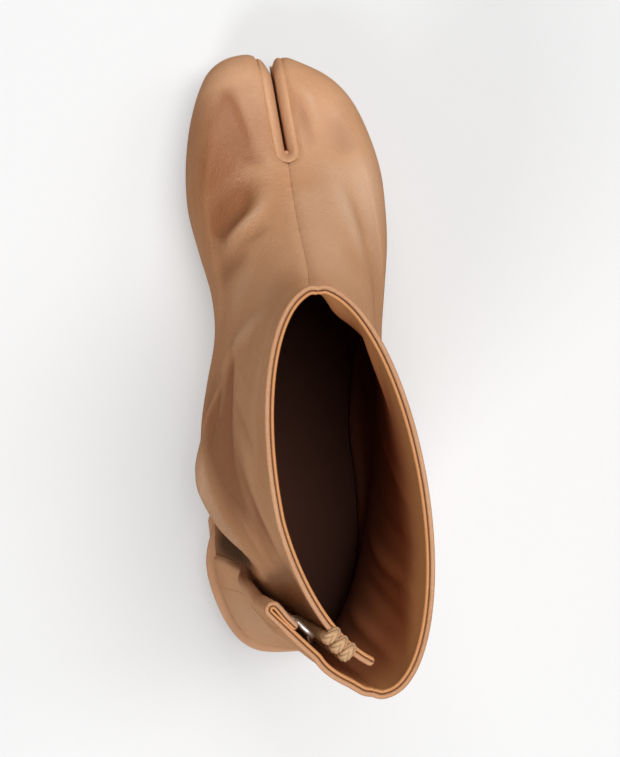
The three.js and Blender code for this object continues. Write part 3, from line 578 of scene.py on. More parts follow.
def panel(name, skin, edge, sewn=(), thin_from=None, own_painted_shades=()):
    """A panel of the upper as one closed wall. The skin is its outer face, whose last row is the
    collar's edge; the inner face lies a wall's thickness within. Near the collar both faces
    swell to the rolled rim, except for the inner one from the column thin_from on. At the
    panel's edges the wall rounds off, sewn edges are drawn in, the foot goes down into the
    joint with the sole, and what lies in the split is left out."""
    skin = np.concatenate([skin[:1] - [0, 0, sole_joint_drop], skin[1:]])
    normal = grid_normals(skin)
    lift = fold_lift(skin, folds)
    # Painted shade in the troughs of the folds, a painted highlight on their ridges, and the tables' shading
    painted_tone = np.minimum(lift, highest_ridge_highlight) + fold_lift(skin, painted_shades) + fold_lift(skin, own_painted_shades)
    for column in sewn:
        lift += seam_dip_at(skin, column)
    _, _, beside = by_the_slot(skin)
    low = skin[..., 2] < slot_ceiling
    lift -= strip_dip * (1 - smooth(strip_dip_to, strip_dip_from, beside)) * low
    skin = skin + normal * lift[..., None]
    normal = grid_normals(skin)
    steps = np.linalg.norm(np.diff(skin, axis=0), axis=-1)
    below = np.concatenate([np.cumsum(steps[::-1], axis=0)[::-1], np.zeros((1, skin.shape[1]))])
    swell = np.exp(-((below - rim_swell_below) / rim_swell_width) ** 2)
    crease = np.exp(-((below - rim_crease_below) / rim_crease_width) ** 2)
    # Painted shade in the crease below the rim
    painted_tone -= crease
    thick = np.ones(skin.shape[1])
    if thin_from is not None:
        thick = 1 - smooth(thin_from - thin_columns, thin_from, np.arange(skin.shape[1]))
    above_sole = skin[..., 2] - sole_top(skin[..., 0])
    lining = (fold_lift(skin, lining_swell) * smooth(lining_from, lining_full, below)
              + foot_fill * np.exp(-((above_sole - foot_fill_height) / foot_fill_width) ** 2))
    out = rim_swell * swell - rim_crease * crease
    within = -wall - rim_swell_inside * swell * thick - lining
    middle, half = (out + within) / 2, (out - within) / 2 * edge
    outer = (skin + normal * (middle + half)[..., None])[:-1]
    inner = (skin + normal * (middle - half)[..., None])[:-1]
    up = skin[-1] - skin[-3]
    up /= np.linalg.norm(up, axis=-1, keepdims=True)
    core = rim[:, 0].mean()
    away = core + (rim[:, :1] - core) * edge * mix(thin_rim, 1, thick)
    over = rim[:, 1:] * edge
    rim_rows = skin[-1] + normal[-1] * away[..., None] + up * over[..., None]
    loop = np.concatenate([outer, rim_rows, inner[::-1]])
    rows, columns = loop.shape[:2]
    surface_rows = len(outer)

    keep = np.ones((rows, columns - 1), bool)
    inside = (beside < cut_beside_slot) & low
    gone = (inside[:-2, :-1] & inside[1:-1, :-1] & inside[:-2, 1:] & inside[1:-1, 1:])
    keep[:surface_rows - 1] = ~gone
    keep[rows - surface_rows:rows - 1] = ~gone[::-1]
    keep[rows - 1] = ~gone[0]
    row, column = np.nonzero(keep)
    above = (row + 1) % rows
    corners = [row * columns + column, above * columns + column,
               above * columns + column + 1, row * columns + column + 1]
    faces = np.stack(corners, axis=1)
    slots = (row >= surface_rows + rim_groove - 1).astype(np.int32)
    # The rim's groove gets the groove's painted shade
    slots[np.abs(row - surface_rows - rim_groove + 1) < 2] = 2

    def wall_faces(row, column, next_row, next_column):
        """Faces between the two sides along the edge of what is left out."""
        far, next_far = rows - 1 - row, rows - 1 - next_row
        return np.stack([row * columns + column, next_row * columns + next_column,
                         next_far * columns + next_column, far * columns + column], axis=1)

    row, column = np.nonzero(gone[:, 1:] != gone[:, :-1])
    across_rows = wall_faces(row, column + 1, row + 1, column + 1)
    row, column = np.nonzero(gone[1:] != gone[:-1])
    across_columns = wall_faces(row + 1, column, row + 1, column + 1)
    faces = np.concatenate([faces, across_rows, across_columns])
    slots = np.concatenate([slots, np.zeros(len(faces) - len(slots), np.int32)])
    # The fold attribute: painted shade and highlight outside, a set darker rim, painted shade in the lining
    fold = np.concatenate([painted_tone[:-1], np.full((len(rim), columns), rim_tone), lining[:-1][::-1]])
    made = piece(name, loop, faces, upper_leathers, slots, fold)
    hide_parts("upper")


# Leather is described once: a fine grain, soft clouds of colour, and painted shade in the troughs of
# its folds with a painted highlight on their ridges
grain = bpy.data.node_groups.new("leather_grain", "ShaderNodeTree")
for socket_name, kind, value in [("Pore size", "NodeSocketFloat", 1500.0),
                                 ("Cloud size", "NodeSocketFloat", 22.0)]:
    grain.interface.new_socket(socket_name, in_out="INPUT", socket_type=kind).default_value = value
grain.interface.new_socket("Height", in_out="OUTPUT", socket_type="NodeSocketFloat")
grain.interface.new_socket("Cloud", in_out="OUTPUT", socket_type="NodeSocketFloat")
grain.interface.new_socket("Pores", in_out="OUTPUT", socket_type="NodeSocketFloat")


def add(tree, kind, links=None, **settings):
    """A node of that kind with its settings, its inputs set to values or linked to sockets."""
    node = tree.nodes.new(kind)
    for key, value in settings.items():
        setattr(node, key, value)
    for key, value in (links or {}).items():
        if isinstance(value, bpy.types.NodeSocket):
            tree.links.new(value, node.inputs[key])
        else:
            node.inputs[key].default_value = value
    return node


def ramp(tree, value, start, end, low=0.0, high=1.0, **settings):
    """A value that goes from low to high, in a straight line unless the settings give another
    curve, while another goes from start to end."""
    return add(tree, "ShaderNodeMapRange", {"Value": value, "From Min": start, "From Max": end,
                                            "To Min": low, "To Max": high}, **settings).outputs[0]


def blend(tree, share, first, second):
    """The colour that lies that share of the way from the first to the second."""
    return add(tree, "ShaderNodeMix", {"Factor": share, "A": first, "B": second},
               data_type="RGBA").outputs["Result"]


grain_in = grain.nodes.new("NodeGroupInput")
grain_out = grain.nodes.new("NodeGroupOutput")
here = add(grain, "ShaderNodeTexCoord").outputs["Object"]
cells = add(grain, "ShaderNodeTexVoronoi", {"Vector": here, "Scale": grain_in.outputs["Pore size"]},
            feature="SMOOTH_F1")
drawn = add(grain, "ShaderNodeMapping", {"Vector": here, "Scale": (1.0, 1.0, 3.2)}).outputs[0]
fibres = add(grain, "ShaderNodeTexNoise", {"Vector": drawn, "Scale": 330.0, "Detail": 4.0})
clouds = add(grain, "ShaderNodeTexNoise",
             {"Vector": here, "Scale": grain_in.outputs["Cloud size"], "Detail": 3.0, "Roughness": 0.55})
relief = add(grain, "ShaderNodeMath", {0: cells.outputs["Distance"], 1: 0.6}, operation="MULTIPLY")
relief = add(grain, "ShaderNodeMath", {0: relief.outputs[0], 1: fibres.outputs["Fac"]}, operation="ADD")
grain.links.new(relief.outputs[0], grain_out.inputs["Height"])
grain.links.new(clouds.outputs["Fac"], grain_out.inputs["Cloud"])
grain.links.new(cells.outputs["Distance"], grain_out.inputs["Pores"])


# The heights of folds, in millimetres, over which the hide gets a painted highlight, painted shade
# and an almost black painted shadow, and how far it does
highlight_range, most_highlight = (0.2, 2.0), 0.6
shade_range, most_shade = (0.0, -1.6), 0.74
shadow_range, most_shadow = (-2.6, -7.5), 0.90
cloud_range = (0.3, 0.7)
gloss_spread = (-0.05, 0.10)
relief_height = 0.0007


def leather(name, base, light, roughness, relief, pore_size=1500.0, shine=0.22, shade_colour=None,
            highlight_colour=leather_painted_highlight, depths=()):
    """Leather: clouds of the light colour over the base, and a fine grain in its relief and its
    gloss. With a shade colour it gets painted shade in the troughs of its folds, painted shadow in
    the deepest ones and a painted highlight on their ridges. A lining also gets painted shade from
    the collar downwards, into the boot, through the colours that depths gives at heights in metres."""
    material = bpy.data.materials.new(name)
    material.use_nodes = True
    tree = material.node_tree
    shader = tree.nodes["Principled BSDF"]
    look = add(tree, "ShaderNodeGroup", {"Pore size": pore_size}, node_tree=grain).outputs
    colour = blend(tree, ramp(tree, look["Cloud"], *cloud_range), base, light)
    if shade_colour:
        fold = add(tree, "ShaderNodeAttribute", attribute_name="fold").outputs["Fac"]
        colour = blend(tree, ramp(tree, fold, *highlight_range, high=most_highlight), colour, highlight_colour)
        colour = blend(tree, ramp(tree, fold, *shade_range, high=most_shade), colour, shade_colour)
        colour = blend(tree, ramp(tree, fold, *shadow_range, high=most_shadow), colour, leather_painted_shadow)
    if depths:
        place = add(tree, "ShaderNodeTexCoord").outputs["Object"]
        height = add(tree, "ShaderNodeSeparateXYZ", {"Vector": place}).outputs["Z"]
    for low, high, deeper in depths:
        rise = ramp(tree, height, low, high, interpolation_type="SMOOTHSTEP")
        colour = blend(tree, rise, deeper, colour)
    least, most = gloss_spread
    gloss = ramp(tree, look["Pores"], 0.0, 1.0, roughness + least, roughness + most)
    bump = add(tree, "ShaderNodeBump", {"Height": look["Height"], "Strength": relief,
                                        "Distance": relief_height})
    tree.links.new(colour, shader.inputs["Base Color"])
    tree.links.new(gloss, shader.inputs["Roughness"])
    tree.links.new(bump.outputs["Normal"], shader.inputs["Normal"])
    shader.inputs["Specular IOR Level"].default_value = shine
    return material


upper_leather = leather("upper_leather", leather_colour, leather_light, 0.42, 0.45, shade_colour=leather_painted_shade)
# The lining gets painted shade below the collar and painted shadow deeper in the boot
lining_leather = leather("lining_leather", lining_colour, lining_colour, 0.45, 0.2,
                         shade_colour=lining_shade, highlight_colour=lining_colour,
                         depths=[(0.148, 0.184, lining_shade), (0.070, 0.140, lining_painted_shadow)])
groove_shade_leather = leather("groove_shade_leather", groove_painted_shade, groove_painted_shade, 0.6, 0.2)
upper_leathers = [upper_leather, lining_leather, groove_shade_leather]

front = np.pi
inner_columns, outer_columns, flap_columns = 150, 200, 44
free_rounding, sewn_rounding = 1.0, 0.5
above_slit = smooth(slit_bottom - underlap_rise, slit_bottom, panel_levels)
inner_start = mix(underlap_low_end, underlap_end, above_slit)
inner_skin, inner_edge = lay(inner_side, inner_start, front, (free_rounding, sewn_rounding), inner_columns)
inner_skin = sew_on(inner_skin, -5, -6)
panel("inner_panel", inner_skin, inner_edge, sewn=(-1,), own_painted_shades=painted_gap_shadow)

outer_skin, outer_edge = lay(outer_side, front, 2 * np.pi + back_seam, (sewn_rounding, sewn_rounding),
                             outer_columns)
outer_skin = sew_on(sew_on(outer_skin, 4, 5), -5, -6)
panel("outer_panel", outer_skin, outer_edge, sewn=(0, -1))

# The flap ends in a hem: the panel is folded inwards round a narrow slit
hem_width = 9.0
fold_radius = 2.5
hem_gap = 4.4
hem_closes_in = 7.0
flap_end = 2 * np.pi + level_value("reach", panel_levels)
flap_skin, flap_edge = lay(outer_side, 2 * np.pi + back_seam, flap_end, (sewn_rounding, free_rounding),
                           flap_columns)
flap_skin = np.delete(sew_on(flap_skin, 4, 5), [-2, -3, -4], axis=1)
flap_normal = grid_normals(flap_skin)
end_point, end_normal = flap_skin[:, -1:], flap_normal[:, -1:]
ahead = flap_skin[:, -1:] - flap_skin[:, -3:-2]
ahead /= np.linalg.norm(ahead, axis=-1, keepdims=True)
turn = np.linspace(0, np.pi, 13)[1:, None]
bend = (end_point - fold_radius * end_normal
        + fold_radius * (end_normal * np.cos(turn) + ahead * np.sin(turn)))
from_fold = np.linalg.norm(np.diff(flap_skin, axis=1), axis=-1)[:, ::-1].cumsum(axis=1)
hem_columns = int((from_fold.mean(axis=0) < hem_width).sum())
depth = mix(2 * fold_radius, hem_gap, smooth(0, hem_closes_in, from_fold[:, :hem_columns]))[..., None]
hem = flap_skin[:, ::-1][:, 1:hem_columns + 1] - flap_normal[:, ::-1][:, 1:hem_columns + 1] * depth
last_step = hem[:, -1:] - hem[:, -2:-1]
last_step /= np.linalg.norm(last_step, axis=-1, keepdims=True)
close_steps = np.array([0.0, 0.5, 0.78, 0.94, 1.0])[1:, None]
hem_end = hem[:, -1:] + last_step * close_steps
hem_skin = np.concatenate([flap_skin, bend, hem, hem_end], axis=1)
hem_edge = np.concatenate([flap_edge[:len(close)],
                           np.ones(hem_skin.shape[1] - len(close) - len(close_steps)),
                           np.sqrt(1 - close_steps[:, 0] ** 2)])
panel("back_flap", hem_skin, hem_edge, sewn=(0,), thin_from=flap_skin.shape[1] - 4)


# The split between the toes: a U-shaped strip of the same leather, rolled over along its edge,
# with sides that go down between the toes to the sole.
gusset_wall = 1.2
gusset_over_sole = 0.4
slot_half = slot_gap / 2
arm_top = 6.72
arm_rows, end_rows, side_columns = 52, 28, 11
widest_bend = 0.9
bend_scale = 35.0
roll = np.array([
    # share of the roll, distance from the split, height over the last
    (0.00, 5.25, -1.10),
    (0.06, 5.05, -0.62),
    (0.14, 4.72, -0.26),
    (0.26, 4.15, -0.02),
    (0.42, 3.40, 0.06),
    (0.58, 2.60, -0.16),
    (0.72, 1.80, -0.70),
    (0.84, 1.15, -1.55),
    (0.93, 0.70, -2.60),
    (1.00, 0.50, -3.80),
])


def find_on_vamp(target, level, bend):
    """Level and bend (signed root of the turn left to the front) of the vamp's points above the
    targets seen from above, by Newton's method with small steps."""
    small = 1e-4
    for _ in range(9):
        flat = [vamp(level + dl, np.pi - (bend + db) * np.abs(bend + db))[0][..., :2]
                for dl, db in ((0, 0), (small, 0), (0, small))]
        miss = target - flat[0]
        by_level, by_bend = (flat[1] - flat[0]) / small, (flat[2] - flat[0]) / small
        size = by_level[..., 0] * by_bend[..., 1] - by_level[..., 1] * by_bend[..., 0]
        step_level = (miss[..., 0] * by_bend[..., 1] - miss[..., 1] * by_bend[..., 0]) / size
        step_bend = (by_level[..., 0] * miss[..., 1] - by_level[..., 1] * miss[..., 0]) / size
        level = level + np.clip(step_level, -0.5, 0.5)
        bend = bend + np.clip(step_bend, -0.1, 0.1)
    return level, bend


def sheet(name, skin, thickness, materials):
    """A closed sheet: the skin is its outer face, the inner one lies a thickness within, and
    both meet at the border."""
    inner = skin.copy()
    inner[1:-1, 1:-1] -= thickness * grid_normals(skin)[1:-1, 1:-1]
    rows, columns = skin.shape[:2]
    row, column = [part.ravel() for part in np.mgrid[0:rows - 1, 0:columns - 1]]
    low, high = row * columns + column, (row + 1) * columns + column
    outer_faces = np.stack([low, high, high + 1, low + 1], axis=1)
    inner_faces = np.stack([low + 1, high + 1, high, low], axis=1) + rows * columns
    return piece(name, np.stack([skin, inner]), np.concatenate([outer_faces, inner_faces]), materials)


profile = through_rows(roll, np.linspace(0, 1, 26))
distance, height = profile[:, 1], profile[:, 2]

# The two arms: at each level, the points of the vamp that lie at the roll's distances
arm_levels = np.linspace(0, arm_top, arm_rows)[:, None]
samples = np.linspace(0, widest_bend, 160)
arms = {}
for side, turn_sign in ((1, -1), (-1, 1)):
    across = by_the_slot(vamp(arm_levels, np.pi + turn_sign * samples ** 2)[0])[1] * side
    bend = np.stack([np.interp(distance, line, samples) for line in across])
    arms[side] = vamp(arm_levels, np.pi + turn_sign * bend ** 2)

# The round end: spokes from the split's end, found on the vamp from above
sweep = np.linspace(0, np.pi, end_rows + 2)[1:-1, None, None]
spokes = np.cos(sweep) * slot_across - np.sin(sweep) * slot_along
target = slot_end + spokes * distance[:, None]
guesses = np.linspace(5, 9, 50)
first_level = np.interp(-target[..., 0], -level_value("front", guesses) * boot_length, guesses)
first_bend = ((target - slot_end) @ slot_across) / bend_scale
found_level, found_bend = find_on_vamp(target, first_level, first_bend)
round_end = vamp(found_level, np.pi - found_bend * np.abs(found_bend))

# The strip: over the vamp by the roll's heights, and beside the split by its distances
surface = np.concatenate([arms[1][0], round_end[0], arms[-1][0][::-1]])
outwards = np.concatenate([arms[1][1], round_end[1], arms[-1][1][::-1]])
beside = np.concatenate([np.broadcast_to(slot_across, (len(arm_levels), 1, 2)), spokes,
                         np.broadcast_to(-slot_across, (len(arm_levels), 1, 2))])
strip = surface + outwards * height[:, None]
gap = ((strip[..., :2] - slot_end) * beside).sum(axis=-1)
strip[..., :2] += beside * (distance - gap)[..., None]

# The sides between the toes, from the strip's lip straight down to the sole
lip = strip[:, -1]
foot_along = np.minimum((lip[:, :2] - slot_end) @ slot_along, (lip[0, :2] - slot_end) @ slot_along)
foot = np.empty_like(lip)
foot[:, :2] = lip[:, :2] + slot_along * (foot_along - (lip[:, :2] - slot_end) @ slot_along)[:, None]
foot[:, 2] = sole_top(foot[:, 0]) + gusset_over_sole
down = np.linspace(0, 1, side_columns + 1)[1:, None]
sides = lip[:, None] + (foot - lip)[:, None] * down
whole_strip = np.concatenate([strip, sides], axis=1)
gusset = sheet("toe_split_strip", whole_strip, gusset_wall, [upper_leather])
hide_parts("toe_gusset")


# The sole: one thin piece of leather, cut to the foot's outline and split at the toes, and glued
# under the upper. At the heel it stands out as a narrow rim, covered in the upper's leather. Its
# top face inside the boot has the insole's dark leather, so that it shows no pale line there.
sole_edge_tuck = 3.4
heel_breast = 60.0
heel_rim = 3.8
heel_rim_from, heel_rim_to = 0.55 * heel_breast, 1.25 * heel_breast
cover_to = 1.3 * heel_breast
cover_height = 3.9
sole_ledge = 6.0
front_ledge = 1.6
ledge_from, ledge_to = 0.8 * heel_breast, 1.3 * heel_breast
ledge_fades_from, ledge_fades_to = 0.80 * boot_length, 0.93 * boot_length
indoors_share = 0.8
indoors_margin = 1.5 * sole_ledge
sole_leather_colour = (0.40, 0.235, 0.13, 1)
sole_leather_light = (0.47, 0.29, 0.17, 1)
insole_colour = (0.080, 0.031, 0.019, 1)
insole_light = (0.100, 0.040, 0.025, 1)
sharp_edge = 0.6
sole_rings = [
    # drawn in by, above the top face
    (1.60, -4.00), (0.90, -3.88), (0.38, -3.55), (0.08, -3.05), (0.00, -2.40),
    (0.00, -1.30), (0.05, -0.75), (0.28, -0.26), (0.80, 0.00),
]
ring_columns = 240


def ring_angles(columns):
    """Angles round a ring, the same on both sides, closer together at its two ends."""
    around = (np.arange(columns) + 0.5) / columns
    half = np.where(around < 0.5, 2 * around, 2 - 2 * around)
    angle = mix(half * np.pi, (1 - np.cos(half * np.pi)) * np.pi / 2, 0.6)
    return np.where(around < 0.5, angle, 2 * np.pi - angle)


def sole_edge(angle, tuck, lift):
    """The sole's edge: along, the cosine of the angle; across, the foot's half width, drawn in a
    little or standing out at the heel, times the root of the sine. It is drawn in by tuck."""
    s = (1 - np.cos(angle)) / 2
    x = mix(0, boot_length - sole_edge_tuck, s)
    inner = np.sin(angle) >= 0
    side = np.where(inner, 1, -1)
    widths = half_widths(x)
    at_heel = 1 - smooth(heel_rim_from, heel_rim_to, x)
    half = (np.where(inner, widths[:, 0] - widths[:, 2], widths[:, 1] - widths[:, 3])
            - mix(sole_edge_tuck, -heel_rim, at_heel))
    bow = np.sqrt(np.abs(np.sin(angle)))
    y = side * (half * bow - tuck * np.minimum(1, 2 * bow) * np.abs(np.sin(angle)) ** 0.3)
    return np.stack([x + tuck * np.cos(angle), y, sole_top(x) + lift], axis=-1)


def stacked_rings(name, rings, materials):
    """A filled body through rings whose two sides match, closed by strips straight across."""
    rings = np.stack(rings)
    layers, columns = rings.shape[:2]
    layer, column = [part.ravel() for part in np.mgrid[0:layers - 1, 0:columns]]
    beyond = (column + 1) % columns
    sides = np.stack([layer * columns + column, layer * columns + beyond,
                      (layer + 1) * columns + beyond, (layer + 1) * columns + column], axis=1)
    near = np.arange(columns // 2 - 1)
    strips = np.stack([near, near + 1, columns - 2 - near, columns - 1 - near], axis=1)
    faces = np.concatenate([sides, strips[:, ::-1], strips + (layers - 1) * columns])
    return piece(name, rings, faces, materials)


def cut_away(body, tool):
    """Takes the tool's volume from a body, for good."""
    cut = body.modifiers.new("cut", "BOOLEAN")
    cut.object = tool
    cut.solver = "EXACT"
    result = bpy.data.meshes.new_from_object(body.evaluated_get(bpy.context.evaluated_depsgraph_get()))
    body.modifiers.clear()
    body.data = result
    bpy.data.objects.remove(tool)


sole_leather = leather("sole_leather", sole_leather_colour, sole_leather_light, 0.55, 0.3, 900.0)
cover_leather = leather("cover_leather", leather_colour, leather_light, 0.42, 0.25)
insole_leather = leather("insole_leather", insole_colour, insole_light, 0.75, 0.2, shine=0.12)
sole_angles = ring_angles(ring_columns)
places = boot_length * (1 - np.cos(sole_angles)) / 2
ledge = mix(sole_ledge, front_ledge, smooth(ledge_from, ledge_to, places))
ledge *= 1 - smooth(ledge_fades_from, ledge_fades_to, places)
rings = [sole_edge(sole_angles, tuck, lift) for tuck, lift in sole_rings]
rings.append(sole_edge(sole_angles, sole_rings[-1][0] + ledge, 0.0))
outsole = stacked_rings("sole", rings, [sole_leather, cover_leather, insole_leather])
cutter_reach = 70.0
cutter_bottom, cutter_top = -5.0, 30.0
bow = np.linspace(0, np.pi, 24)
cutter_plan = np.concatenate([
    [slot_end + slot_across * slot_half + slot_along * cutter_reach],
    slot_end + slot_half * (np.cos(bow)[:, None] * slot_across - np.sin(bow)[:, None] * slot_along),
    [slot_end - slot_across * slot_half + slot_along * cutter_reach],
])
cutter = stacked_rings("split_cutter", [np.column_stack([cutter_plan, np.full(len(cutter_plan), z)])
                                        for z in (cutter_bottom, cutter_top)], [])
cut_away(outsole, cutter)

# Which faces of the sole are its covered rim, and which lie indoors
centres = np.array([face.center[:] for face in outsole.data.polygons]) * 1000 - last_origin
lifts = centres[:, 2] - sole_top(centres[:, 0])
covered = (lifts > -cover_height) & (centres[:, 0] < cover_to)
share = np.clip(centres[:, 0] / (boot_length - sole_edge_tuck), 0, 1)
reach = half_widths(centres[:, 0])[:, 0] * np.sqrt(2 * np.sqrt(share * (1 - share))) - sole_ledge
indoors = (lifts > -0.1) & (np.abs(centres[:, 1]) < indoors_share * reach) & (
    np.abs(centres[:, 0] - slot_end[0] / 2) < slot_end[0] / 2 - indoors_margin)
slots = np.where(indoors, 2, covered)
outsole.data.polygons.foreach_set("material_index", slots.astype(np.int32))
outsole.data.set_sharp_from_angle(angle=sharp_edge)
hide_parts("outsole")


# The heel: a low block wrapped in the upper's leather, nailed up under the sole, on a thin
# wearing piece of brown rubber.
heel_taper = 4.5
heel_corner_tuck = 6.0
top_piece_thickness = 5.0
top_piece_inset = 0.8
heel_columns = 96
heel_side_end = 1.2
heel_front = np.array([
    # beyond the breast, share of the half width
    (-0.6, 0.985), (-0.1, 0.95), (0.3, 0.6), (0.5, 0.2),
])
heel_layers = [
    # share of the height, drawn in by
    (0.00, 0.9), (0.015, 0.35), (0.04, 0.0), (0.15, 0.0), (0.3, 0.0), (0.45, 0.0), (0.6, 0.0), (0.75, 0.0),
    (0.88, 0.0), (0.96, 0.0), (0.985, 0.3), (1.0, 0.9),
]


def heel_ring(inset, height):
    """The heel's outline, round at the back and straight across its front, drawn in by inset;
    height gives its level at each place along."""
    sides = heel_columns // 2 - len(heel_front)
    along = ((np.arange(sides) + 0.5) / sides) ** 2
    x = inset + (heel_breast - heel_side_end - inset) * along
    share = np.clip((x - inset) / (boot_length - sole_edge_tuck), 0, 1)
    bow = np.sqrt(2 * np.sqrt(share * (1 - share)))
    corner = heel_corner_tuck * smooth(0.35 * heel_breast, heel_breast, x)
    widths = half_widths(x)
    half = (widths[:, :2] + (heel_rim - inset - corner)[:, None]) * bow[:, None]
    x = np.concatenate([x, heel_breast + heel_front[:, 0]])
    half = np.concatenate([half, half[-1] * heel_front[:, 1:]])
    ring = np.concatenate([np.column_stack([x, half[:, 0]]), np.column_stack([x, -half[:, 1]])[::-1]])
    return np.column_stack([ring, height(ring[:, 0])])


def heel_seat(x):
    """The heel's top face, just under the sole."""
    return sole_top(x) - sole_thickness - clearance


heel_foot = top_piece_thickness + clearance
heel = stacked_rings("heel_cover", [
    heel_ring(heel_taper * (1 - share) ** 1.4 + tuck, lambda x: mix(heel_foot, heel_seat(x), share))
    for share, tuck in heel_layers], [cover_leather])
heel.data.set_sharp_from_angle(angle=sharp_edge)
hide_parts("heel")

rubber_colour = (0.075, 0.05, 0.035, 1)
rubber_light = (0.10, 0.07, 0.05, 1)
rubber = leather("heel_rubber", rubber_colour, rubber_light, 0.6, 0.35, 700.0)
top_piece_layers = [(0.0, 0.7), (0.25, 0.2), (0.8, 0.0), (4.3, 0.0), (4.8, 0.2), (5.0, 0.6)]
top_piece = stacked_rings("heel_wearing_piece", [
    heel_ring(heel_taper + top_piece_inset + tuck, lambda x: np.full(len(x), height))
    for height, tuck in top_piece_layers], [rubber])
top_piece.data.set_sharp_from_angle(angle=sharp_edge)
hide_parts("heel_top_piece")


# The insole: a thin sheet of dark leather, glued on the sole inside the boot and left bare. It
# is the frame's own piece, and only gets its finish here.
insole_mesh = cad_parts["insole"].data
insole_mesh.materials.clear()
insole_mesh.materials.append(insole_leather)


# The cords: three plaited cotton cords, sewn into the groove of the underlap's rim, bent over
# it and sewn down in loops, into which the hooks go.
cord_count = 3
cord_diameter = 3.8
cord_sides = 32
cord_rings = 480
loop_count = 5
loop_knots = 22
loop_lift = 0.5
cord_top_angles = (0.585, 0.079)
cord_low_angles = (0.42, 0.078)
cord_top_level = top_level - 0.17
cord_low_level = 9.9
cord_start = np.array([
    # outwards of the surface, above the collar
    (-0.9, -3.0), (-0.8, -1.0), (-0.2, 0.2), (0.8, 0.75), (1.9, 0.5), (2.7, -0.7),
])
plait_pitch = 1.9
plait_slant = 1.6
plait_depth = 0.13
plait_swell = 0.25
cord_colour = (0.420, 0.225, 0.108, 1)
cord_light = (0.690, 0.435, 0.232, 1)
cord_shade = (0.130, 0.060, 0.026, 1)

cord_cotton = bpy.data.materials.new("loop_cord")
cord_cotton.use_nodes = True
tree = cord_cotton.node_tree
cord_shader = tree.nodes["Principled BSDF"]
on_cord = add(tree, "ShaderNodeUVMap", uv_map="along_cord").outputs["UV"]
stretched = add(tree, "ShaderNodeMapping", {"Vector": on_cord, "Scale": (34.0, 9.0, 1.0)}).outputs[0]
threads = add(tree, "ShaderNodeTexNoise", {"Vector": stretched, "Scale": 1.0, "Detail": 3.0}).outputs["Fac"]
# Painted shade in the valleys of the plait
valley_shade = add(tree, "ShaderNodeAttribute", attribute_name="fold").outputs["Fac"]
cotton = blend(tree, threads, cord_colour, cord_light)
cotton = blend(tree, ramp(tree, valley_shade, 0.25, 0.9, high=0.8), cotton, cord_shade)
fuzz = add(tree, "ShaderNodeBump", {"Height": threads, "Strength": 0.6, "Distance": 0.0003})
tree.links.new(cotton, cord_shader.inputs["Base Color"])
tree.links.new(fuzz.outputs["Normal"], cord_shader.inputs["Normal"])
cord_shader.inputs["Roughness"].default_value = 0.85


def plaited_cord(name, path, sideways, radius):
    """A tube along a path: round rings, a little smaller where two strands of the plait meet,
    along lines that run to and fro like herringbones; its ends round off."""
    ahead = np.gradient(path, axis=0)
    ahead /= np.linalg.norm(ahead, axis=1, keepdims=True)
    facing = np.cross(sideways, ahead)
    facing /= np.linalg.norm(facing, axis=1, keepdims=True)
    across = np.cross(ahead, facing)
    run = np.concatenate([[0], np.linalg.norm(np.diff(path, axis=0), axis=1).cumsum()])
    turn = np.linspace(-np.pi, np.pi, cord_sides, endpoint=False)
    zigzag = np.abs(np.abs(turn) / np.pi * 2 - 1)
    phase = run[:, None] / plait_pitch + plait_slant * zigzag
    valley = (1 - np.abs(np.sin(np.pi * phase))) ** 1.5
    ends = np.sqrt(np.clip(1 - (1 - np.minimum(run, run[-1] - run) / radius) ** 2, 0, 1))
    ends = np.where(np.minimum(run, run[-1] - run) > radius, 1, ends)
    reach = radius * (1 - plait_depth * valley) * ends[:, None]
    ring = (path[:, None] + reach[..., None] * (np.cos(turn)[:, None] * facing[:, None]
                                                + np.sin(turn)[:, None] * across[:, None]))
    rows = len(path)
    row, column = [part.ravel() for part in np.mgrid[0:rows - 1, 0:cord_sides]]
    beyond = (column + 1) % cord_sides
    near, far = row * cord_sides, (row + 1) * cord_sides
    faces = np.stack([near + column, near + beyond, far + beyond, far + column], axis=1)
    # The valleys of the plait go in the fold attribute, for painted shade
    made = piece(name, ring, faces, [cord_cotton], fold=valley)
    points = np.empty(len(made.data.vertices) * 3)
    made.data.vertices.foreach_get("co", points)
    points = points.reshape(-1, 3) * 1000 - last_origin
    nearest = ((points[:, None] - path[::3]) ** 2).sum(axis=-1).argmin(axis=1) * 3
    offset = points - path[nearest]
    around = np.arctan2((offset * across[nearest]).sum(axis=1), (offset * facing[nearest]).sum(axis=1))
    corner = np.empty(len(made.data.loops), int)
    made.data.loops.foreach_get("vertex_index", corner)
    places = np.column_stack([around / (2 * np.pi), run[nearest] / 10])[corner]
    made.data.uv_layers.new(name="along_cord").data.foreach_set("uv", places.ravel())
    return made


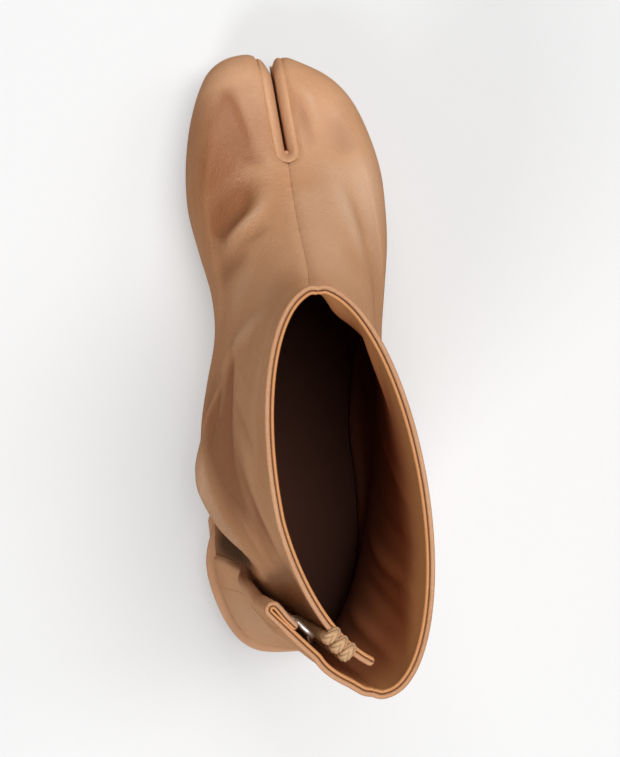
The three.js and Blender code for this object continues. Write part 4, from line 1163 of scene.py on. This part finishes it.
# Each cord's route: its points over the rim, then the loops down the underlap, on one curve
for index in range(cord_count):
    share = np.linspace(0, 1, loop_knots)
    level = mix(cord_top_level, cord_low_level, share)
    angle = mix(cord_top_angles[0] + index * cord_top_angles[1],
                cord_low_angles[0] + index * cord_low_angles[1], share)
    on_leather = inner_side(level, angle)
    beside = inner_side(level, angle + 0.05) - inner_side(level, angle - 0.05)
    out = np.column_stack([-beside[:, 1], beside[:, 0], np.zeros(len(beside))])
    out /= np.linalg.norm(out, axis=1, keepdims=True)
    loop = loop_lift * (1 - np.cos(2 * np.pi * loop_count * share)) / 2
    lying = on_leather + out * (cord_diameter / 2 + clearance + loop)[:, None]
    rim_point = inner_side(np.array([top_level]), angle[:1])
    bend = rim_point + out[:1] * cord_start[:, :1] + np.array([0, 0, 1.0]) * cord_start[:, 1:]
    knots = np.concatenate([bend, lying])
    along = np.concatenate([[0], np.linalg.norm(np.diff(knots, axis=0), axis=1).cumsum()])
    path = through_rows(np.column_stack([along, knots]), np.linspace(0, along[-1], cord_rings))[:, 1:]
    sideways = np.column_stack([out[:, 1], -out[:, 0], np.zeros(len(out))]).mean(axis=0)
    cord_made = plaited_cord(f"plaited_cord_{index + 1}", path, np.tile(sideways, (len(path), 1)),
                             cord_diameter / 2 + plait_swell)
    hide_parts(f"loop_cord_{index + 1}")


# The hooks: five flat plates of dull steel with rounded tips, clamped one above the other in the
# hem of the flap, to be pushed into the cords' loops.
hook_count = 5
hook_levels = (13.65, 10.45)
hook_length = 9.0
hook_width = 9.0
hook_thickness = 1.4
hook_neck = 0.82
hook_crown = 0.12
hook_in_hem, hook_sunk, hook_raised = 0.5, 0.4, 0.7
steel_colour = (0.78, 0.76, 0.72, 1)
hook_steel = bpy.data.materials.new("hook_metal")
hook_steel.use_nodes = True
tree = hook_steel.node_tree
steel_shader = tree.nodes["Principled BSDF"]
on_steel = add(tree, "ShaderNodeTexCoord").outputs["Object"]
brushed = add(tree, "ShaderNodeMapping", {"Vector": on_steel, "Scale": (300.0, 300.0, 3000.0)}).outputs[0]
scratches = add(tree, "ShaderNodeTexNoise", {"Vector": brushed, "Scale": 1.0, "Detail": 2.0}).outputs["Fac"]
tree.links.new(ramp(tree, scratches, 0.0, 1.0, 0.34, 0.56), steel_shader.inputs["Roughness"])
steel_shader.inputs["Base Color"].default_value = steel_colour
steel_shader.inputs["Metallic"].default_value = 1.0

# Each plate: a flat grid with a half-round tip and a slight crown, from the hem's edge forwards
for index in range(hook_count):
    row = int(np.abs(panel_levels - mix(*hook_levels, index / (hook_count - 1))).argmin())
    heading = (last_step[row, 0] * [1, 1, 0]) / np.linalg.norm(last_step[row, 0, :2])
    facing = np.array([-heading[1], heading[0], 0.0])
    clamp = hem[row, -1] - heading * hook_in_hem - facing * hook_sunk
    u = np.sin(np.linspace(0, np.pi / 2, 22))[:, None]
    v = np.sin(np.linspace(-np.pi / 2, np.pi / 2, 19))
    tip = hook_width / 2
    past = np.maximum(u * hook_length - (hook_length - tip), 0) / tip
    width = tip * mix(hook_neck, 1.0, smooth(0, 0.35, u)) * np.sqrt(np.clip(1 - past ** 2, 0, 1))
    dome = hook_crown * np.sin(np.pi * u) * (1 - v ** 2)
    plate = (clamp + heading * (u * hook_length + 0 * v)[..., None]
             + np.array([0, 0, 1.0]) * (width * v)[..., None] + facing * (dome + hook_raised)[..., None])
    hook = sheet(f"hook_plate_{index + 1}", plate, hook_thickness, [hook_steel])
    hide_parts(f"hook_{index + 1}")


# The hem's stitches: one row of tan thread along the flap, which holds the turned leather down a
# little further from the fold than the hem is wide. Each is a small spindle on the leather.
stitch_line = 11.2
stitch_pitch = 2.7
stitch_length = 1.9
stitch_radius = 0.26
stitch_raised = 0.06
first_stitch = 1.0
last_stitch_below_rim = 5.0
stitch_rings, stitch_sides = 7, 8


def beside_fold(values):
    """Values of the flap's grid at the stitch line, row by row, in a straight line between the
    columns, whose distances from the fold are known."""
    return np.stack([[np.interp(stitch_line, away, row[:, axis]) for axis in range(3)]
                     for away, row in zip(column_places, values[:, ::-1])])


def along_seam(values, at):
    """Values of the stitch line's rows at lengths along it, in a straight line between rows."""
    return np.column_stack([np.interp(at, length, values[:, axis]) for axis in range(3)])


column_places = np.concatenate([np.zeros((len(from_fold), 1)), from_fold], axis=1)
line = beside_fold(flap_skin)
length = np.concatenate([[0], np.linalg.norm(np.diff(line, axis=0), axis=1).cumsum()])
places = np.arange(first_stitch, length[-1] - last_stitch_below_rim, stitch_pitch)
centre = along_seam(line, places)
ahead = along_seam(line, places + 0.5) - centre
ahead /= np.linalg.norm(ahead, axis=1, keepdims=True)
upright = along_seam(beside_fold(flap_normal), places)
across = np.cross(ahead, upright)
t = np.linspace(-1, 1, stitch_rings)[:, None]
turn = np.linspace(0, 2 * np.pi, stitch_sides, endpoint=False)
radius = stitch_radius * np.sqrt(np.clip(1 - t ** 2, 0, 1)) * np.ones(stitch_sides)
stitches = (centre[:, None, None] + ahead[:, None, None] * (t * stitch_length / 2 + 0 * turn)[..., None]
            + upright[:, None, None] * (radius * np.cos(turn) + stitch_raised)[..., None]
            + across[:, None, None] * (radius * np.sin(turn))[..., None])
stitch, ring, column = [part.ravel() for part in np.mgrid[0:len(places), 0:stitch_rings - 1, 0:stitch_sides]]
first = (stitch * stitch_rings + ring) * stitch_sides
beyond = (column + 1) % stitch_sides
faces = np.stack([first + column, first + beyond, first + stitch_sides + beyond,
                  first + stitch_sides + column], axis=1)
hem_stitches = piece("hem_stitches", stitches, faces, [cord_cotton])
